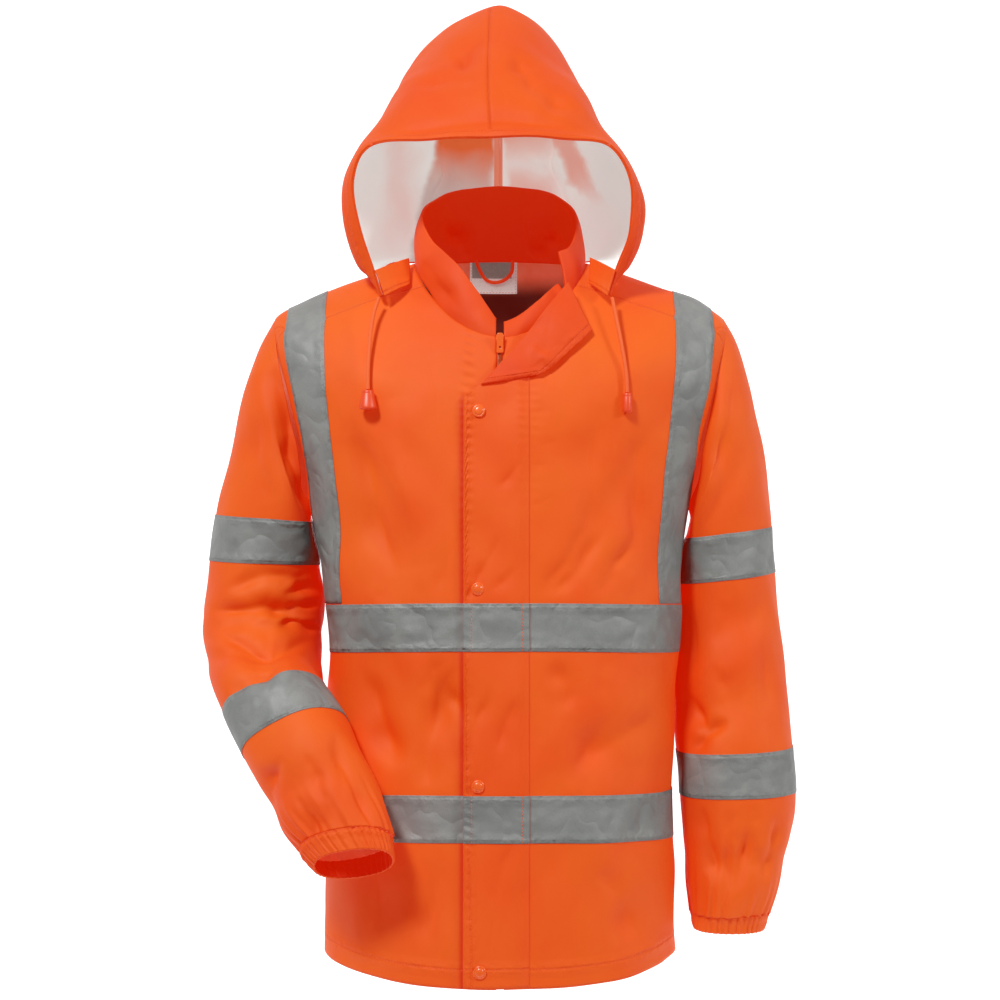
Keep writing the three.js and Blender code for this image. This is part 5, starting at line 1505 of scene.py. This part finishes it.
CORD_WIDTH = 4
CORDS = {
    "right": ((-128, -80.5, -4.5), (-133.5, -89, -24), (-136.5, -101, -52), (-137.5, -112, -80),
              (-137.5, -117.8, -103)),
    "left": ((118.5, -80.5, -4.5), (122, -91, -26), (127, -103.5, -54), (131.5, -111.5, -84),
             (132.5, -115, -106)),
}


def round_cord(name, places):
    """A round cord along places in metres."""
    data = bpy.data.curves.new(name, "CURVE")
    data.dimensions = "3D"
    data.bevel_depth = CORD_WIDTH / 2 * MM
    data.bevel_resolution = 4
    data.use_fill_caps = True
    spline = data.splines.new("POLY")
    spline.points.add(len(places) - 1)
    for point, place in zip(spline.points, places):
        point.co = (*place, 1)
    data.materials.append(CORD_FINISH)
    made = bpy.data.objects.new(name, data)
    bpy.context.scene.collection.objects.link(made)
    return made


def add_cord(label):
    places = along(np.array(CORDS[label]), np.linspace(0, 4, 25)) * MM
    made = ride(round_cord(f"drawcord_{label}", places), "cord", f"cord_{label}")
    top = np.array(CORDS[label][-1]) - (0, 0, 0.6)
    end = lathe(f"cord_stopper_{label}", END_PROFILES[label], top, (0, 0, -1), STOPPER)
    ride(end, "hardware", f"cord_end_{label}")


def lathe(name, profile, place, axis, material, turns=40):
    """A round piece: (radius, height) places turned about an axis."""
    axis = np.asarray(axis, float) / np.linalg.norm(axis)
    first = np.cross(axis, (0.3, 0.2, 0.9) if abs(axis[2]) < 0.8 else (1, 0, 0))
    first /= np.linalg.norm(first)
    second = np.cross(axis, first)
    angles = np.linspace(0, 2 * math.pi, turns + 1)[:-1]
    circle = np.cos(angles)[:, None] * first + np.sin(angles)[:, None] * second
    rings = [np.asarray(place) + axis * height + radius * circle for radius, height in profile]
    places = np.concatenate(rings)
    index = np.arange(len(places)).reshape(len(profile), turns)
    turned = np.roll(index, -1, axis=1)
    faces = np.stack([index[:-1], turned[:-1], turned[1:], index[1:]], axis=-1).reshape(-1, 4)
    ends = [list(index[0][::-1]), list(index[-1])]
    return new_object(name, places, [list(face) for face in faces] + ends, [material])


# Snaps: x and height on the flap, and (radius, height) of a cap
SNAPS = ((-22, -126), (-22.8, -310), (-22.7, -514), (-20.7, -705))
SNAP_PROFILE = ((6.7, -0.4), (6.9, 0.5), (6.6, 1.3), (5.9, 1.75), (5.3, 1.7), (5.0, 1.55), (4.7, 1.9),
                (4.2, 2.5), (3.2, 2.95), (1.8, 3.2), (0.4, 3.25))
SNAP_LIFT = 0.8


def add_snaps():
    for number, (x, height) in enumerate(SNAPS, 1):
        row = row_at_height(lambda row: angle_across(x, row), np.array(float(height)))
        grid = flap_grid(np.array([[float(x)]]), np.array([[float(row)]]), DOUBLE_CLOTH + SNAP_LIFT)
        made = lathe(f"snap_cap_{number}", SNAP_PROFILE, grid.points[0, 0], grid.normals[0, 0], HARD)
        ride(made, "hardware", f"snap_{number}")


# (radius, distance down) of each cord end: the right one flares
END_PROFILES = {
    "right": ((1.5, 0), (4.9, 0), (5.7, 0.6), (6.1, 2.4), (5.9, 3.2), (6.4, 3.9), (9.1, 16.5), (9.5, 18.4),
              (9.1, 19.6), (8.0, 20.0), (2.0, 20.0)),
    "left": ((1.5, 0), (3.8, 0), (4.5, 0.6), (4.7, 2.4), (4.5, 3.2), (4.8, 3.9), (5.2, 17.5), (5.1, 19.2),
             (4.2, 20.0), (1.5, 20.0)),
}


def plate(name, outlines, thick, bevel, place, tilt, material):
    """A moulded plate from closed outlines in its own plane, with rounded edges."""
    data = bpy.data.curves.new(name, "CURVE")
    data.dimensions = "2D"
    data.fill_mode = "BOTH"
    data.extrude = (thick / 2 - bevel) * MM
    data.bevel_depth = bevel * MM
    data.bevel_resolution = 3
    for outline in outlines:
        spline = data.splines.new("POLY")
        spline.points.add(len(outline) - 1)
        spline.use_cyclic_u = True
        for point, (x, y) in zip(spline.points, outline):
            point.co = (x * MM, y * MM, 0, 1)
    data.materials.append(material)
    made = bpy.data.objects.new(name, data)
    made.location = tuple(value * MM for value in place)
    made.rotation_euler = (math.radians(90 + tilt), 0, 0)
    bpy.context.scene.collection.objects.link(made)
    return made


def rounded(corners, radius, steps=5):
    """An outline with its corners rounded."""
    made = []
    count = len(corners)
    for number in range(count):
        last, here, after = (np.array(corners[(number + step) % count], float) for step in (-1, 0, 1))
        start = here + (last - here) / np.linalg.norm(last - here) * radius
        end = here + (after - here) / np.linalg.norm(after - here) * radius
        for part in np.linspace(0, 1, steps):
            made.append(tuple((1 - part) ** 2 * start + 2 * part * (1 - part) * here + part * part * end))
    return made


# Outlines of the slider and the pull tab, and the tab's hole
SLIDER_OUTLINE = ((-3.3, 6), (3.3, 6), (3.3, 0), (2.2, -6), (-2.2, -6), (-3.3, 0))
TAB_OUTLINE = ((-2.6, 0), (2.6, 0), (3.4, -20), (-3.4, -20))
TAB_HOLE_RADIUS = 1.6
TAB_HOLE_HEIGHT = -14.5


def add_slider():
    slider = plate("zip_slider_body", [rounded(SLIDER_OUTLINE, 1.2)], 4.4, 0.7, (0, -106, -51), -28, HARD)
    ride(slider, "hardware", "zip_slider")
    angle = np.linspace(0, 2 * math.pi, 17)[:-1]
    hole = [(TAB_HOLE_RADIUS * math.cos(turn), TAB_HOLE_HEIGHT + TAB_HOLE_RADIUS * math.sin(turn))
            for turn in angle][::-1]
    pull = plate("zip_pull_tab", [rounded(TAB_OUTLINE, 1.3), hole], 1.6, 0.5, (0, -112.1, -44), 0, HARD)
    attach(pull, "pull_tab")
    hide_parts("zip_pull")


# Half length, half width and half height of a tooth
TOOTH = (1.5, 0.8, 0.42)


def add_teeth():
    """Moulded teeth in two rows that mesh on the middle line, behind the fronts."""
    heights = np.linspace(0.15, 17.4, 560)
    grid = raised(body_grid(np.full((1, len(heights)), 90.0), heights[None, :]), "body")
    side = np.where(np.arange(len(heights)) % 2 == 0, 1.0, -1.0)[:, None]
    middle = grid.points[0] - grid.normals[0] * (CLOTH + 0.6) + side * (0.9, 0, 0)
    way = np.gradient(middle, axis=0)
    way[:, 0] = 0
    way /= np.linalg.norm(way, axis=1, keepdims=True)
    out = grid.normals[0]
    corners = [middle + x * np.array([TOOTH[0], 0, 0]) + y * out * TOOTH[1] + z * way * TOOTH[2]
               for x in (-1, 1) for y in (-1, 1) for z in (-1, 1)]
    places = np.stack(corners, axis=1).reshape(-1, 3)
    box = np.array([[0, 1, 3, 2], [4, 6, 7, 5], [0, 4, 5, 1], [2, 3, 7, 6], [0, 2, 6, 4], [1, 5, 7, 3]])
    faces = (np.arange(len(heights))[:, None, None] * 8 + box).reshape(-1, 4)
    ride(new_object("zip_teeth", places, faces, [TEETH_FINISH]), "hardware")


def neck_inside(x, inset):
    """y on the inside of the back neck, at an inset from it."""
    return 78 * np.sqrt(1 - (x / 94) ** 2) - inset


def add_label():
    x, z = np.meshgrid(np.linspace(-33.5, 19, 40), np.linspace(13, 50.5, 34))
    ripples = 0.35 * np.sin(x / 6 + 0.4) * np.sin(z / 11)
    grid = Grid(np.stack([x, neck_inside(x, 2.6) + ripples, z], axis=-1), np.array([0, -1, 0]))
    edges = {"left": 1.6, "right": 1.6, "bottom": 1.6, "top": 1.6}
    ride(shell("neck_label_cloth", [grid], -0.6, 0, LABEL_FINISH, edges), "label", "neck_label")


# (x, z) of the hanging loop
LOOP_PLACES = ((-27, 50.5), (-23, 40), (-16, 29), (-6, 25.5), (5, 28.5), (13, 37), (14.5, 50.5))


def add_loop():
    flat = along(np.array(LOOP_PLACES), np.linspace(0, 6, 49))
    places = np.stack([flat[:, 0], neck_inside(flat[:, 0], 5.8), flat[:, 1]], axis=1) * MM
    ride(round_cord("hanging_loop_cord", places), "cord", "hanging_loop")


# The photograph's camera, in metres: its distance, its height and the width that it sees at the jacket
CAMERA_DISTANCE = 2.6
CAMERA_HEIGHT = -0.218
CAMERA_WIDTH = 1.09
SENSOR = 36


def add_camera():
    data = bpy.data.cameras.new("photo camera")
    data.sensor_width = SENSOR
    data.lens = SENSOR * CAMERA_DISTANCE / CAMERA_WIDTH
    data.clip_end = 30
    camera = bpy.data.objects.new("photo camera", data)
    camera.location = (0, -CAMERA_DISTANCE, CAMERA_HEIGHT)
    camera.rotation_euler = (math.radians(90), 0, 0)
    bpy.context.scene.collection.objects.link(camera)
    bpy.context.scene.camera = camera


def add_light(name, place, target, energy):
    data = bpy.data.lights.new(name, "AREA")
    data.shape = "SQUARE"
    data.size = LIGHT_SIZE
    data.energy = energy
    lamp = bpy.data.objects.new(name, data)
    lamp.location = place
    way = np.array(target) - np.array(place)
    flat = math.hypot(way[0], way[1])
    lamp.rotation_euler = (math.atan2(flat, -way[2]), 0, math.atan2(way[0], -way[1]) + math.pi)
    bpy.context.scene.collection.objects.link(lamp)


LIGHT_SIZE = 0.5
# The white backdrop: a floor that sweeps up behind the jacket
FLOOR_HEIGHT = -1150
FLOOR_START = -500
SWEEP_START = 3000
SWEEP_RADIUS = 1500
BACKDROP_REACH = 20000.0


def add_stage():
    floor_material = Finish("white backdrop")
    floor_material.set(Base_Color=(0.90, 0.90, 0.90, 1), Roughness=0.9, Specular_IOR_Level=0.1,
                       Emission_Color=(1, 1, 1, 1), Emission_Strength=0.62)
    turn = np.radians(np.linspace(0, 90, 13))
    sweep = np.stack([SWEEP_START + SWEEP_RADIUS * np.sin(turn),
                      FLOOR_HEIGHT + SWEEP_RADIUS * (1 - np.cos(turn))], axis=1)
    wall = SWEEP_START + SWEEP_RADIUS
    line = np.concatenate([[[FLOOR_START, FLOOR_HEIGHT]], sweep, [[wall, BACKDROP_REACH]]])
    x = np.array([-BACKDROP_REACH, BACKDROP_REACH])
    places = np.stack([np.tile(x, len(line)), np.repeat(line[:, 0], 2), np.repeat(line[:, 1], 2)], axis=1)
    first = np.arange(len(line) - 1) * 2
    faces = np.stack([first, first + 1, first + 3, first + 2], axis=1)
    made = new_object("backdrop", places, faces, [floor_material.material])
    world = bpy.context.scene.world or bpy.data.worlds.new("world")
    bpy.context.scene.world = world
    world.use_nodes = True
    background = world.node_tree.nodes["Background"]
    background.inputs["Color"].default_value = (1, 1, 1, 1)
    background.inputs["Strength"].default_value = 0.2
    add_light("key", (-1.1, -2.2, 1.75), (0, 0, -0.1), 112)
    add_light("side", (2.3, -1.3, 0.9), (0, 0, -0.2), 38)
    bpy.context.scene.view_settings.view_transform = "Standard"


add_camera()
for label in ("left", "right"):
    add_cord(label)
add_back()
for label, side in SIDES:
    add_front(label, side)
    add_sleeve(label, side)
    add_cuff(label, side)
    for place in ("upper", "lower"):
        add_sleeve_band(label, side, place)
    add_braces(label, side)
    add_hood_flap(label, side)
for place in BODY_BANDS:
    add_body_bands(place)
add_flap()
add_lapel()
add_collar()
add_hood()
add_zip_tapes()
add_slider()
add_teeth()
add_snaps()
add_label()
add_loop()
add_threads()
add_stage()
